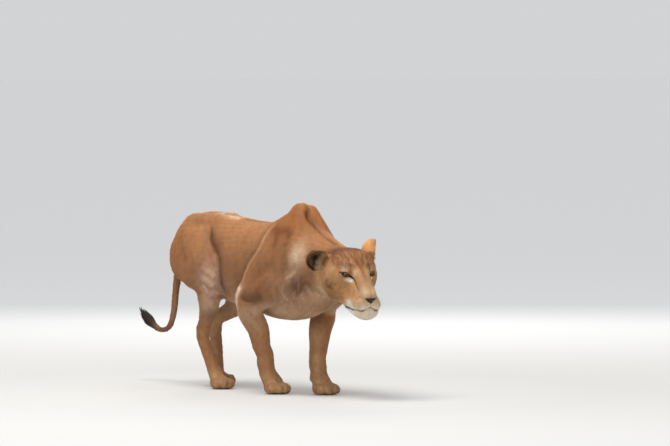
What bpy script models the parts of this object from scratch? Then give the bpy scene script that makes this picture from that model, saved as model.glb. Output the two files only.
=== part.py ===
"""A life-size lioness in a low stalking walk, as a still museum model.

The animal faces +X, its left side is +Y and the floor it stands on is Z = 0. Muscle and bone
masses are lofted, joined by a voxel remesh and smoothed into one body, which thin cuts then part
into the pieces a person would name. The outline is that of the coat. Run it with
blender --background --python part.py, or from Blender's text editor.
"""

import math

import bmesh
import bpy
import numpy as np
from mathutils import Matrix, Vector
from mathutils.bvhtree import BVHTree

RIGHT, LEFT = -1, 1
SIDES = {"right": RIGHT, "left": LEFT}

# Driving sizes of the trunk, in metres.
RUMP_X, CHEST_X = -0.520, 0.455
RUMP_Z, SADDLE_Z, WITHERS_Z = 0.768, 0.731, 0.776
BELLY_Z, STERNUM_Z = 0.350, 0.312
CHEST_HALF, BELLY_HALF = 0.171, 0.164
BLADE_TOP_Z = 0.812

# The head's own frame has its origin midway between the eyes and its X axis along the palate.
HEAD_PLACE = Vector((0.753, -0.029, 0.531))
HEAD_YAW, HEAD_PITCH, HEAD_ROLL = math.radians(-9.6), math.radians(20), math.radians(1)
HEAD_SIZE = 1.03
EYE_RADIUS, EYE_SPREAD = 0.0185, 0.0535
SOCKET_FRONT = 0.006

# How the masses become one surface, and how it is parted.
VOXEL = 0.0055
BODY_TRIANGLES = 4400
GAP = 0.0003
SMALLEST_PIECE = 1e-6

COAT = {"color": (0.50, 0.29, 0.14), "roughness": 0.75}
DARK = {"color": (0.035, 0.025, 0.02), "roughness": 0.45}
IRIS = {"color": (0.30, 0.17, 0.05), "roughness": 0.1}


# ---------------------------------------------------------------- tools


def start_clean():
    for obj in list(bpy.data.objects):
        bpy.data.objects.remove(obj)
    collection = bpy.data.collections.new("lioness")
    bpy.context.scene.collection.children.link(collection)
    return collection


def material(name, look):
    made = bpy.data.materials.new(name)
    made.use_nodes = True
    shader = made.node_tree.nodes["Principled BSDF"]
    shader.inputs["Base Color"].default_value = (*look["color"], 1)
    shader.inputs["Roughness"].default_value = look["roughness"]
    return made


def head_matrix():
    turn = Matrix.Rotation(HEAD_YAW, 4, "Z") @ Matrix.Rotation(HEAD_PITCH, 4, "Y")
    turn = turn @ Matrix.Rotation(HEAD_ROLL, 4, "X")
    return Matrix.Translation(HEAD_PLACE) @ turn @ Matrix.Scale(HEAD_SIZE, 4)


HEAD = head_matrix()


def spline(rows, steps):
    """Rows of numbers with Catmull-Rom values between them."""
    rows = np.array(rows, float)
    padded = np.vstack([2 * rows[0] - rows[1], rows, 2 * rows[-1] - rows[-2]])
    found = []
    for i in range(1, len(padded) - 2):
        a, b, c, d = padded[i - 1 : i + 3]
        for t in np.arange(steps) / steps:
            bend = (2 * a - 5 * b + 4 * c - d) * t**2 + (3 * b - a - 3 * c + d) * t**3
            found.append(0.5 * (2 * b + (c - a) * t + bend))
    return np.array([*found, rows[-1]])


def loft(bm, stations, hint=(0, 0, 1), place=None, steps=5, segments=28, square=2.0):
    """A closed form through stations of (x, y, z, side, up, down): the section's half width, and its
    reach above and below the path. hint is the way up, and square is 2 for an ellipse and more for a
    boxier section. Both ends are rounded, beyond the first and last stations."""
    rows = spline(stations, steps)
    tangents = np.gradient(rows[:, :3], axis=0)
    tangents /= np.linalg.norm(tangents, axis=1)[:, None]
    for end, way in ((0, -1), (-1, 1)):
        bulge = 0.5 * rows[end, 3:].mean() + 0.5 * rows[end, 3:].min()
        caps = []
        for angle in (0.45, 0.85, 1.2, 1.5):
            cap = rows[end].copy()
            cap[:3] += tangents[end] * way * bulge * math.sin(angle)
            cap[3:] *= math.cos(angle)
            caps.append(cap)
        around = np.array([tangents[end]] * len(caps))
        if way < 0:
            rows, tangents = np.vstack([caps[::-1], rows]), np.vstack([around, tangents])
        else:
            rows, tangents = np.vstack([rows, caps]), np.vstack([tangents, around])
    centres, radii = rows[:, :3], np.maximum(rows[:, 3:], 0.001)
    angles = np.arange(segments) * 2 * math.pi / segments
    cos, sin = np.cos(angles), np.sin(angles)
    x = np.sign(cos) * np.abs(cos) ** (2 / square)
    y = np.sign(sin) * np.abs(sin) ** (2 / square)
    rings = []
    for centre, (side, up, down), tangent in zip(centres, radii, tangents):
        forward = Vector(tangent)
        across = Vector(hint).cross(forward).normalized()
        above = forward.cross(across)
        reach = np.where(y > 0, up, down) * y
        points = [Vector(centre) + across * (side * a) + above * b for a, b in zip(x, reach)]
        if place is not None:
            points = [place @ p for p in points]
        rings.append([bm.verts.new(p) for p in points])
    for one, two in zip(rings, rings[1:]):
        for i in range(segments):
            j = (i + 1) % segments
            bm.faces.new((one[i], one[j], two[j], two[i]))
    bm.faces.new(list(reversed(rings[0])))
    bm.faces.new(rings[-1])


def lump(bm, centre, radii, turn=(0, 0, 0), place=None):
    """An ellipsoid, turned by degrees about X, Y and Z."""
    matrix = Matrix.Translation(centre)
    for axis, angle in zip("ZYX", reversed(turn)):
        matrix = matrix @ Matrix.Rotation(math.radians(angle), 4, axis)
    matrix = matrix @ Matrix.Diagonal((*radii, 1))
    if place is not None:
        matrix = place @ matrix
    bmesh.ops.create_uvsphere(bm, u_segments=24, v_segments=14, radius=1, matrix=matrix)


def object_of(name, bm, collection):
    bmesh.ops.recalc_face_normals(bm, faces=bm.faces)
    mesh = bpy.data.meshes.new(name)
    bm.to_mesh(mesh)
    bm.free()
    obj = bpy.data.objects.new(name, mesh)
    collection.objects.link(obj)
    return obj


def settle(obj):
    """Replaces the object's mesh by its evaluated one, so that its modifiers are in the mesh."""
    graph = bpy.context.evaluated_depsgraph_get()
    mesh = bpy.data.meshes.new_from_object(obj.evaluated_get(graph))
    obj.modifiers.clear()
    old = obj.data
    obj.data = mesh
    bpy.data.meshes.remove(old)
    return obj


# ---------------------------------------------------------------- masses of the trunk and neck


def add_trunk(bm):
    """Sections of (x, top, widest level, bottom, half width) from the tail's root to the breast."""
    sections = [
        (RUMP_X, 0.708, 0.645, 0.585, 0.045),
        (-0.485, 0.744, 0.62, 0.50, 0.088),
        (-0.41, RUMP_Z, 0.61, 0.44, 0.120),
        (-0.30, 0.764, 0.59, 0.400, 0.128),
        (-0.18, 0.749, 0.56, 0.372, 0.144),
        (-0.05, 0.735, 0.54, BELLY_Z, BELLY_HALF),
        (0.08, SADDLE_Z, 0.52, 0.328, CHEST_HALF),
        (0.20, 0.752, 0.51, STERNUM_Z, 0.164),
        (0.30, WITHERS_Z, 0.51, 0.318, 0.148),
        (0.39, 0.738, 0.52, 0.350, 0.118),
        (CHEST_X, 0.68, 0.53, 0.405, 0.075),
    ]
    stations = [(x, 0, wide, half, top - wide, wide - bottom) for x, top, wide, bottom, half in sections]
    loft(bm, stations, square=2.15)
    # The spine's low ridge from the hips over the loin.
    ridge = [
        (-0.45, 0, 0.725, 0.050, 0.035, 0.05),
        (-0.20, 0, 0.712, 0.045, 0.032, 0.05),
        (0.10, 0, 0.700, 0.040, 0.030, 0.05),
    ]
    loft(bm, ridge)
    for side in (RIGHT, LEFT):
        # The point of the hip.
        lump(bm, (-0.330, side * 0.078, 0.726), (0.060, 0.036, 0.034), (0, 8, side * -14))
        # The flank's fold of skin, from the belly up to the front of the thigh.
        fold = [
            (0.02, side * 0.104, 0.400, 0.010, 0.03, 0.010),
            (-0.06, side * 0.110, 0.422, 0.022, 0.05, 0.028),
            (-0.13, side * 0.126, 0.465, 0.028, 0.06, 0.045),
            (-0.17, side * 0.135, 0.510, 0.030, 0.05, 0.040),
        ]
        loft(bm, fold)


def add_neck(bm):
    stations = [
        (0.27, 0.000, 0.575, 0.125, 0.150, 0.20),
        (0.36, -0.002, 0.575, 0.118, 0.150, 0.18),
        (0.45, -0.007, 0.566, 0.114, 0.128, 0.153),
        (0.54, -0.014, 0.556, 0.109, 0.106, 0.132),
        (0.61, -0.020, 0.550, 0.102, 0.092, 0.118),
    ]
    loft(bm, stations)
    # The breast fur hangs forward below the neck.
    lump(bm, (0.405, -0.003, 0.445), (0.095, 0.108, 0.100), (0, 20, 0))
    for side in (RIGHT, LEFT):
        # The muscle from the side of the neck to the point of the shoulder.
        strap = [
            (0.56, -0.015 + side * 0.062, 0.555),
            (0.49, side * 0.085, 0.545),
            (0.43, side * 0.112, 0.520),
        ]
        loft(bm, [(*point, 0.045, 0.055, 0.055) for point in strap])


# ---------------------------------------------------------------- legs

# Joints of each leg as (x, out from the middle, z). The right foreleg trails and the left one leads.
FORELEG = {
    RIGHT: {
        "blade": (0.357, 0.047, 0.785),
        "shoulder": (0.425, 0.140, 0.490),
        "elbow": (0.140, 0.180, 0.395),
        "wrist": (0.150, 0.088, 0.138),
        "paw": (0.205, 0.075, 0.0),
        "heading": -4,
    },
    LEFT: {
        "blade": (0.302, 0.047, 0.772),
        "shoulder": (0.438, 0.140, 0.480),
        "elbow": (0.200, 0.172, 0.375),
        "wrist": (0.308, 0.075, 0.132),
        "paw": (0.370, 0.064, 0.0),
        "heading": -3,
    },
}
HINDLEG = {
    RIGHT: {
        "hip": (-0.375, 0.098, 0.625),
        "stifle": (-0.150, 0.150, 0.485),
        "hock": (-0.322, 0.088, 0.232),
        "paw": (-0.215, 0.075, 0.0),
        "heading": -6,
    },
    LEFT: {
        "hip": (-0.385, 0.098, 0.625),
        "stifle": (-0.262, 0.150, 0.445),
        "hock": (-0.500, 0.095, 0.245),
        "paw": (-0.437, 0.078, 0.0),
        "heading": 6,
    },
}
CALF_SHARE = 0.48  # how far down the shank the calf ends


def on_side(side, point, dx=0.0, dy=0.0, dz=0.0):
    x, out, z = point
    return Vector((x + dx, side * (out + dy), z + dz))


def limb(bm, points, radii, hint=(1, 0, 0)):
    """A loft through points with radii of (out, forward, back) at each."""
    loft(bm, [(*p, *r) for p, r in zip(points, radii)], hint=hint, steps=4)


def add_paw(bm, side, place, heading, width):
    """Four toes fanned round a pad, on the floor, with the toes' soles a little below it."""
    sole = Vector((place[0], side * place[1], 0))
    turn = Matrix.Translation(sole) @ Matrix.Rotation(math.radians(heading * -side), 4, "Z")
    lump(bm, (-0.005, 0, 0.027), (0.052, width * 0.42, 0.034), place=turn)
    lump(bm, (-0.030, 0, 0.018), (0.030, width * 0.30, 0.022), place=turn)
    for spot, ahead in ((-1.5, 0.022), (-0.5, 0.042), (0.5, 0.042), (1.5, 0.022)):
        across = spot * width * 0.245
        lump(bm, (ahead, across, 0.0225), (0.034, width * 0.145, 0.0265), (0, 0, spot * 6), turn)


def add_shoulder(bm, side):
    """The blade, whose top stands above the spine, with the muscles on and round it."""
    joint = FORELEG[side]
    blade, shoulder, elbow = joint["blade"], joint["shoulder"], joint["elbow"]
    point = on_side(side, shoulder)
    plate = [
        on_side(side, blade),
        on_side(side, blade, 0.004, 0.014, -0.045),
        on_side(side, blade, 0.012, 0.044, -0.125),
        on_side(side, blade, 0.040, 0.074, -0.210),
        on_side(side, shoulder, -0.015, -0.004, 0.025),
        point,
    ]
    sizes = [
        (0.032, 0.042, 0.066),
        (0.036, 0.066, 0.105),
        (0.046, 0.092, 0.140),
        (0.054, 0.092, 0.130),
        (0.056, 0.074, 0.090),
        (0.050, 0.058, 0.062),
    ]
    limb(bm, plate, sizes)
    # The back's muscles run up to the blade's top from behind, and the neck's from in front.
    top = on_side(side, blade, 0, 0, BLADE_TOP_Z - blade[2] - 0.03)
    back = [top, top + Vector((-0.11, 0, -0.046)), top + Vector((-0.24, side * -0.01, -0.088))]
    limb(bm, back, [(0.03, 0.03, 0.03)] * 3, hint=(0, 0, 1))
    crest = [top, top + Vector((0.075, side * 0.004, -0.107)), top + Vector((0.165, side * 0.006, -0.172))]
    limb(bm, crest, [(0.03, 0.03, 0.03), (0.042, 0.04, 0.04), (0.045, 0.04, 0.04)], hint=(0, 0, 1))
    # The upper arm.
    arm = [
        point + Vector((0, 0, -0.015)),
        on_side(side, shoulder, -0.12, 0.022, -0.040),
        on_side(side, elbow, 0.03, -0.004, 0),
    ]
    sizes = [(0.054, 0.064, 0.064), (0.052, 0.078, 0.072), (0.046, 0.062, 0.056)]
    limb(bm, arm, sizes, hint=(0, 0, 1))
    # The triceps fills the angle between blade and elbow, and its rear edge is the shoulder's.
    triceps = [
        on_side(side, blade, -0.085, 0.040, -0.110),
        on_side(side, blade, -0.125, 0.078, -0.205),
        on_side(side, blade, -0.175, 0.108, -0.300),
        on_side(side, elbow, -0.018, 0.0, 0.030),
        on_side(side, elbow, -0.026, 0.002, -0.005),
    ]
    sizes = [
        (0.034, 0.080, 0.050),
        (0.044, 0.110, 0.056),
        (0.046, 0.100, 0.052),
        (0.038, 0.060, 0.042),
        (0.028, 0.040, 0.030),
    ]
    limb(bm, triceps, sizes)


def add_foreleg(bm, side):
    """The forearm narrows to the wrist, and the pastern drops to the paw."""
    joint = FORELEG[side]
    elbow, wrist, paw = joint["elbow"], joint["wrist"], joint["paw"]
    fall = on_side(side, wrist) - on_side(side, elbow)
    forearm = [
        on_side(side, elbow, 0.018, -0.004, 0.025),
        on_side(side, elbow, 0.018, -0.006, -0.045),
        on_side(side, elbow, 0.012, -0.008, 0) + fall * 0.46,
        on_side(side, elbow, 0.004, -0.003, 0) + fall * 0.74,
        on_side(side, wrist, 0, 0, 0.025),
        on_side(side, wrist, 0, 0, -0.01),
    ]
    sizes = [
        (0.050, 0.064, 0.060),
        (0.050, 0.068, 0.060),
        (0.045, 0.058, 0.054),
        (0.039, 0.046, 0.043),
        (0.038, 0.039, 0.039),
        (0.039, 0.039, 0.037),
    ]
    limb(bm, forearm, sizes)
    pastern = [
        on_side(side, wrist, 0, 0, 0.02),
        on_side(side, wrist, 0.012, -0.002, -0.045),
        on_side(side, paw, -0.012, 0, 0.045),
        on_side(side, paw, 0.0, 0, 0.03),
    ]
    sizes = [(0.038, 0.038, 0.037), (0.039, 0.036, 0.034), (0.045, 0.038, 0.036), (0.044, 0.030, 0.030)]
    limb(bm, pastern, sizes)
    # The small pad behind the wrist, and the dew claw's toe.
    lump(bm, on_side(side, wrist, -0.032, 0.0, -0.012), (0.016, 0.018, 0.018))
    lump(bm, on_side(side, wrist, 0.010, -0.036, -0.062), (0.016, 0.012, 0.022))
    add_paw(bm, side, paw, joint["heading"], 0.110)


def add_thigh(bm, side):
    """The thigh, broad fore and aft, and the buttock behind it down to the calf."""
    joint = HINDLEG[side]
    hip, knee = joint["hip"], on_side(side, joint["stifle"])
    along = knee - on_side(side, hip)
    thigh = [
        on_side(side, hip, -0.010, -0.014, 0.085),
        on_side(side, hip, 0.0, 0.010, 0.020),
        on_side(side, hip, 0.015, 0.020, -0.010) + along * 0.40,
        on_side(side, hip, 0.0, 0.012, 0.0) + along * 0.76,
        knee + Vector((0.002, side * -0.004, -0.010)),
    ]
    sizes = [
        (0.040, 0.075, 0.095),
        (0.056, 0.110, 0.130),
        (0.058, 0.118, 0.135),
        (0.054, 0.088, 0.115),
        (0.045, 0.052, 0.075),
    ]
    limb(bm, thigh, sizes)
    calf = knee.lerp(on_side(side, joint["hock"]), CALF_SHARE)
    buttock = [
        on_side(side, (-0.478, 0.074, 0.665)),
        on_side(side, (-0.488, 0.090, 0.595)),
        (on_side(side, (-0.455, 0.106, 0.510)) + on_side(side, hip, -0.06, 0.01, -0.11)) / 2,
        calf + Vector((-0.060, 0, 0.090)),
        calf + Vector((-0.030, 0, 0.010)),
    ]
    sizes = [
        (0.044, 0.055, 0.040),
        (0.060, 0.080, 0.050),
        (0.058, 0.090, 0.052),
        (0.042, 0.060, 0.038),
        (0.034, 0.040, 0.028),
    ]
    limb(bm, buttock, sizes)


def add_hindleg(bm, side):
    """The shank, its tendon to the heel, and the long hind foot."""
    joint = HINDLEG[side]
    stifle, hock, paw = joint["stifle"], joint["hock"], joint["paw"]
    knee = on_side(side, stifle)
    down = on_side(side, hock) - knee
    calf = knee + down * CALF_SHARE
    shank = [
        knee + Vector((0, side * -0.006, 0.005)),
        knee + down * 0.26 + Vector((-0.004, side * -0.004, 0)),
        calf + Vector((0.006, 0, 0)),
        on_side(side, hock, 0.012, 0, 0.045),
        on_side(side, hock),
    ]
    sizes = [
        (0.047, 0.052, 0.066),
        (0.047, 0.052, 0.068),
        (0.042, 0.044, 0.054),
        (0.031, 0.031, 0.034),
        (0.029, 0.029, 0.032),
    ]
    limb(bm, shank, sizes)
    heel = on_side(side, hock, -0.038, 0, 0.030)
    tendon = [calf + Vector((-0.045, 0, 0.01)), (calf + heel) / 2 + Vector((-0.010, 0, 0)), heel]
    limb(bm, tendon, [(0.024, 0.022, 0.018), (0.015, 0.014, 0.012), (0.018, 0.017, 0.012)])
    foot = [
        on_side(side, hock, -0.028, 0, 0.018),
        on_side(side, hock, -0.008, 0, -0.020),
        (on_side(side, hock) + on_side(side, paw)) / 2 + Vector((-0.010, 0, 0.0)),
        on_side(side, paw, -0.030, 0, 0.055),
        on_side(side, paw, -0.008, 0, 0.028),
    ]
    sizes = [
        (0.023, 0.022, 0.018),
        (0.029, 0.031, 0.027),
        (0.028, 0.027, 0.027),
        (0.034, 0.030, 0.031),
        (0.038, 0.030, 0.032),
    ]
    limb(bm, foot, sizes)
    add_paw(bm, side, paw, joint["heading"], 0.100)


# ---------------------------------------------------------------- tail

TAIL_PATH = [
    (-0.515, 0.000, 0.690, 0.040),
    (-0.560, -0.006, 0.665, 0.029),
    (-0.596, -0.020, 0.590, 0.0225),
    (-0.608, -0.032, 0.500, 0.0205),
    (-0.615, -0.042, 0.400, 0.0185),
    (-0.622, -0.048, 0.310, 0.0165),
    (-0.652, -0.050, 0.252, 0.0150),
    (-0.710, -0.050, 0.232, 0.0140),
    (-0.765, -0.050, 0.246, 0.0160),
    (-0.810, -0.050, 0.268, 0.0240),
    (-0.850, -0.050, 0.294, 0.0200),
    (-0.885, -0.050, 0.318, 0.0050),
]
TAIL_CUTS = (2, 4, 6, 8)


def add_tail(bm):
    loft(bm, [(x, y, z, r, r, r) for x, y, z, r in TAIL_PATH], hint=(0, 1, 0), steps=6, segments=18)


# ---------------------------------------------------------------- head


# Sections of the head, in its own frame and in millimetres: x, top of the middle line, the edge of the
# forehead or bridge, the upper side, the widest point, the jaw or lip, and the bottom of the middle line.
HEAD_SECTIONS = [
    (-160, 46, (52, 33), (84, 4), (94, -42), (68, -92), -108),
    (-125, 66, (55, 56), (93, 22), (108, -37), (88, -98), -124),
    (-90, 75, (52, 67), (94, 36), (116, -32), (96, -101), -134),
    (-60, 76, (47, 70), (90, 40), (115, -30), (97, -100), -140),
    (-35, 71, (41, 66), (79, 40), (105, -26), (88, -99), -144),
    (-14, 61, (35, 57), (63, 34), (86, -28), (76, -99), -146),
    (5, 51, (30, 47), (47, 20), (65, -34), (67, -107), -148),
    (28, 38, (27, 33), (40, 0), (54, -46), (61, -118), -150),
    (60, 22, (27, 17), (37, -22), (52, -66), (56, -129), -152),
    (90, 6, (27, 0), (39, -38), (57, -80), (52, -134), -154),
    (115, -8, (27, -14), (39, -46), (58, -83), (50, -134), -154),
    (135, -21, (26, -27), (34, -51), (51, -83), (46, -131), -150),
    (147, -31, (24, -36), (28, -55), (39, -81), (37, -123), -141),
    (153, -38, (18, -43), (20, -56), (23, -76), (22, -108), -123),
]


def add_head(bm):
    """A loft of the sections, with the brows, cheekbones and cheeks added."""
    rows = []
    for x, top, *sides, bottom in HEAD_SECTIONS:
        loop = [(0, top), *sides, (0, bottom), *[(-y, z) for y, z in reversed(sides)]]
        ring = spline([loop[-1], *loop, loop[0], loop[1]], 4)[4:-5]
        rows.append([x, *ring.ravel()])
    rows = spline(rows, 4)
    rings = []
    for row in rows:
        points = np.array(row[1:]).reshape(-1, 2)
        rings.append([bm.verts.new(HEAD @ (Vector((row[0], y, z)) / 1000)) for y, z in points])
    for one, two in zip(rings, rings[1:]):
        for i, j in zip(range(len(one)), [*range(1, len(one)), 0]):
            bm.faces.new((one[i], one[j], two[j], two[i]))
    bm.faces.new(list(reversed(rings[0])))
    bm.faces.new(rings[-1])
    for side in (RIGHT, LEFT):
        # The brow, the cheekbone, and the fur that rounds the back of the cheek.
        lump(bm, (-0.020, side * 0.044, 0.030), (0.034, 0.030, 0.014), (side * 18, 24, side * -16), HEAD)
        lump(bm, (-0.045, side * 0.082, -0.030), (0.050, 0.026, 0.026), (0, 0, side * -30), HEAD)
        lump(bm, (-0.118, side * 0.056, -0.078), (0.060, 0.048, 0.050), (0, 0, 0), HEAD)


# Each ear by its root, the way its tip points and the way it opens, in the head's own frame.
EARS = {
    RIGHT: {"root": (-0.100, -0.090, -0.002), "tip": (-0.22, -0.88, 0.42), "opening": (0.88, -0.30, -0.10)},
    LEFT: {"root": (-0.102, 0.089, 0.027), "tip": (-0.77, 0.41, 0.46), "opening": (0.38, 0.88, 0.1)},
}
EAR_LENGTH, EAR_WIDTH, EAR_DEPTH, EAR_WALL = 0.094, 0.048, 0.036, 0.0055


def ellipsoid(centre, radii, collection):
    bm = bmesh.new()
    matrix = Matrix.Translation(centre) @ Matrix.Diagonal((*radii, 1))
    bmesh.ops.create_uvsphere(bm, u_segments=12, v_segments=8, radius=1, matrix=matrix)
    return object_of("ellipsoid", bm, collection)


def ear(name, side, collection):
    """A round cup, made with its root at the origin, its tip along +Z and its opening along +X."""
    centre, radii = (0, 0, EAR_LENGTH * 0.46), (EAR_DEPTH, EAR_WIDTH, EAR_LENGTH * 0.54)
    made = ellipsoid(centre, radii, collection)
    made.name = name
    hollow = ellipsoid(centre, [r - EAR_WALL for r in radii], collection)
    subtract(made, hollow)
    bm = bmesh.new()
    ahead = Matrix.Rotation(0.12, 4, "Y") @ Matrix.Translation((0.506, 0, 0))
    bmesh.ops.create_cube(bm, size=1, matrix=ahead)
    front = object_of("front", bm, collection)
    subtract(made, front)
    for used in (hollow, front):
        bpy.data.objects.remove(used)
    for vert in made.data.vertices:  # the front edges close towards the root
        low = max(0.0, 1 - max(vert.co.z, 0) / (EAR_LENGTH * 0.5))
        vert.co.y *= 1 - 0.25 * low
        vert.co.x += 0.008 * low
    place = EARS[side]
    tip = Vector(place["tip"]).normalized()
    opening = Vector(place["opening"])
    opening = (opening - tip * opening.dot(tip)).normalized()
    turn = Matrix((opening, tip.cross(opening), tip)).transposed().to_4x4()
    made.data.transform(HEAD @ Matrix.Translation(place["root"]) @ turn)
    return made


def eyeball(name, side, collection, room=0.0):
    """A ball in the eye's place, larger than the eye by room."""
    bm = bmesh.new()
    place = Matrix.Translation(HEAD @ Vector((0, side * EYE_SPREAD, 0)))
    bmesh.ops.create_icosphere(bm, subdivisions=2, radius=EYE_RADIUS * HEAD_SIZE + room, matrix=place)
    return object_of(name, bm, collection)


# ---------------------------------------------------------------- one body


def detail_at(point):
    """1 on the head, 0.8 on the paws and tail, and 0 on the trunk, with soft borders."""
    local = HEAD.inverted() @ point
    head = 1 - min(1, max(0, (Vector((local.x + 0.03, local.y, local.z + 0.03)).length - 0.16) / 0.06))
    paw = 1 - min(1, max(0, (point.z - 0.07) / 0.10))
    tail = min(1, max(0, (-point.x - 0.56) / 0.03))
    return max(head, 0.8 * paw, 0.8 * tail)


def trunk_share(point):
    """1 over the trunk, shoulders and thighs, and 0 on the head and lower legs."""
    high = min(1, max(0, (point.z - 0.30) / 0.12))
    return high * (1 - detail_at(point)) * min(1, max(0, (0.66 - point.x) / 0.08))


SOFTENING = (("soft", 8, lambda point: 1 - 0.75 * detail_at(point)), ("trunk", 40, trunk_share))


def settle_eye_sockets(obj):
    """Presses the surface back round each eye, so that the eyeball shows between brow and cheek."""
    back = HEAD.inverted()
    for vert in obj.data.vertices:
        local = back @ vert.co
        for side in (RIGHT, LEFT):
            if local.x < -0.03 or local.y * side < 0.02:
                continue
            away = ((local.y * side - EYE_SPREAD - 0.002) / 0.022) ** 2 + ((local.z + 0.001) / 0.016) ** 2
            depth = local.x - (SOCKET_FRONT - 0.28 * (local.y * side - EYE_SPREAD))
            if depth > 0:
                local.x -= depth * math.exp(-(away**1.5))
                vert.co = HEAD @ local


def body(collection):
    bm = bmesh.new()
    add_trunk(bm)
    add_neck(bm)
    add_head(bm)
    add_tail(bm)
    for side in (RIGHT, LEFT):
        add_shoulder(bm, side)
        add_foreleg(bm, side)
        add_thigh(bm, side)
        add_hindleg(bm, side)
    made = object_of("body", bm, collection)
    remesh = made.modifiers.new("join", "REMESH")
    remesh.mode = "VOXEL"
    remesh.voxel_size = VOXEL
    settle(made)
    settle_eye_sockets(made)
    for name, steps, share in SOFTENING:
        group = made.vertex_groups.new(name=name)
        for vert in made.data.vertices:
            group.add([vert.index], share(vert.co), "REPLACE")
        smooth = made.modifiers.new(name, "SMOOTH")
        smooth.factor = 0.5
        smooth.iterations = steps
        smooth.vertex_group = name
    settle(made)
    made.vertex_groups.clear()
    return made


def thin_out(obj, triangles):
    """Fewer triangles. Those that go first are where the surface is flattest."""
    fewer = obj.modifiers.new("fewer", "DECIMATE")
    fewer.ratio = triangles / sum(len(face.vertices) - 2 for face in obj.data.polygons)
    fewer.use_collapse_triangulate = True
    settle(obj)


def flatten_soles(obj):
    """Cuts off all that is below the floor, which leaves the soles flat and closed."""
    bm = bmesh.new()
    bm.from_mesh(obj.data)
    cut = bmesh.ops.bisect_plane(
        bm, geom=[*bm.verts, *bm.edges, *bm.faces], plane_co=(0, 0, 0), plane_no=(0, 0, -1), clear_outer=True
    )
    rims = [edge for edge in cut["geom_cut"] if isinstance(edge, bmesh.types.BMEdge)]
    bmesh.ops.triangle_fill(bm, edges=rims, use_beauty=True)
    bmesh.ops.recalc_face_normals(bm, faces=bm.faces)
    bm.to_mesh(obj.data)
    bm.free()


# ---------------------------------------------------------------- the cuts between pieces


def slab(bm, centre, normal, reach):
    """A plate GAP thick across the given normal."""
    turn = Vector(normal).to_track_quat("Z", "Y").to_matrix().to_4x4()
    size = Matrix.Diagonal((2 * reach, 2 * reach, GAP, 1))
    bmesh.ops.create_cube(bm, size=1, matrix=Matrix.Translation(centre) @ turn @ size)


def shell(bm, centre, radii, place=None, detail=(12, 8)):
    """The skin of an ellipsoid, GAP thick."""
    for inset in (0, GAP):
        matrix = Matrix.Translation(centre) @ Matrix.Diagonal((*[r - inset for r in radii], 1))
        if place is not None:
            matrix = place @ matrix
        around, down = detail
        made = bmesh.ops.create_uvsphere(bm, u_segments=around, v_segments=down, radius=1, matrix=matrix)
        if inset:
            faces = {face for vert in made["verts"] for face in vert.link_faces}
            bmesh.ops.reverse_faces(bm, faces=list(faces))


def cutters():
    """Each cut as a function that fills a mesh with it."""
    yield lambda bm: slab(bm, HEAD @ Vector((-0.150, 0, -0.02)), HEAD.to_3x3() @ Vector((1, 0, 0)), 0.17)
    yield lambda bm: slab(bm, (0.465, 0, 0.575), (0.96, 0, 0.275), 0.24)
    yield lambda bm: slab(bm, (-0.048, 0, 0.55), (1, 0, 0), 0.30)
    yield lambda bm: shell(bm, (0.160, 0, -0.054), (0.016, 0.026, 0.018), HEAD, (14, 8))
    shoulders = {RIGHT: (0.215, 0.230, 0.54), LEFT: (0.250, 0.230, 0.54)}
    thighs = {RIGHT: (-0.315, 0.215, 0.500), LEFT: (-0.360, 0.215, 0.490)}
    for side in (RIGHT, LEFT):
        fore, hind = FORELEG[side], HINDLEG[side]
        yield lambda bm: shell(bm, on_side(side, shoulders[side]), (0.255, 0.195, 0.275))
        yield lambda bm: shell(bm, on_side(side, thighs[side]), (0.265, 0.19, 0.245))
        yield lambda bm: slab(bm, on_side(side, fore["wrist"], 0.01, 0, -0.03), (0, 0, 1), 0.07)
        yield lambda bm: slab(bm, on_side(side, hind["hock"], 0.0, 0, -0.045), (0, 0, 1), 0.07)
        yield lambda bm: slab(bm, on_side(side, hind["paw"], -0.02, 0, 0.064), (0, 0, 1), 0.07)
    for index in TAIL_CUTS:
        here, there = Vector(TAIL_PATH[index][:3]), Vector(TAIL_PATH[index + 1][:3])
        yield lambda bm: slab(bm, here, there - here, 0.038)


def cut_apart(obj, collection):
    for fill in cutters():
        bm = bmesh.new()
        fill(bm)
        mesh = bpy.data.meshes.new("cutter")
        bm.to_mesh(mesh)
        bm.free()
        cutter = bpy.data.objects.new("cutter", mesh)
        collection.objects.link(cutter)
        subtract(obj, cutter)
        bpy.data.objects.remove(cutter)
    return islands(obj, collection)


def subtract(obj, cutter):
    cut = obj.modifiers.new("cut", "BOOLEAN")
    cut.operation = "DIFFERENCE"
    cut.solver = "EXACT"
    cut.object = cutter
    settle(obj)


def islands(obj, collection):
    """The closed bodies of a mesh, each as its own object, with crumbs left out."""
    bm = bmesh.new()
    bm.from_mesh(obj.data)
    bm.verts.ensure_lookup_table()
    label = {}
    for seed in bm.verts:
        if seed in label:
            continue
        label[seed] = seed.index
        stack = [seed]
        while stack:
            for edge in stack.pop().link_edges:
                for vert in edge.verts:
                    if vert not in label:
                        label[vert] = seed.index
                        stack.append(vert)
    pieces = []
    for number in sorted(set(label.values())):
        part = bmesh.new()
        old = [vert for vert in bm.verts if label[vert] == number]
        new = {vert: part.verts.new(vert.co) for vert in old}
        for face in {face for vert in old for face in vert.link_faces}:
            part.faces.new([new[vert] for vert in face.verts])
        if part.calc_volume(signed=False) < SMALLEST_PIECE:
            part.free()
            continue
        pieces.append(object_of("piece", part, collection))
    bm.free()
    bpy.data.objects.remove(obj)
    return pieces


def holds(obj, point):
    """Whether the point is inside the object's closed mesh."""
    tree = BVHTree.FromObject(obj, bpy.context.evaluated_depsgraph_get())
    way, start, hits = Vector((0.577, 0.211, 0.789)), Vector(point), 0
    while True:
        where = tree.ray_cast(start, way)[0]
        if where is None:
            return hits % 2 == 1
        hits += 1
        start = where + way * 1e-5


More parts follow.
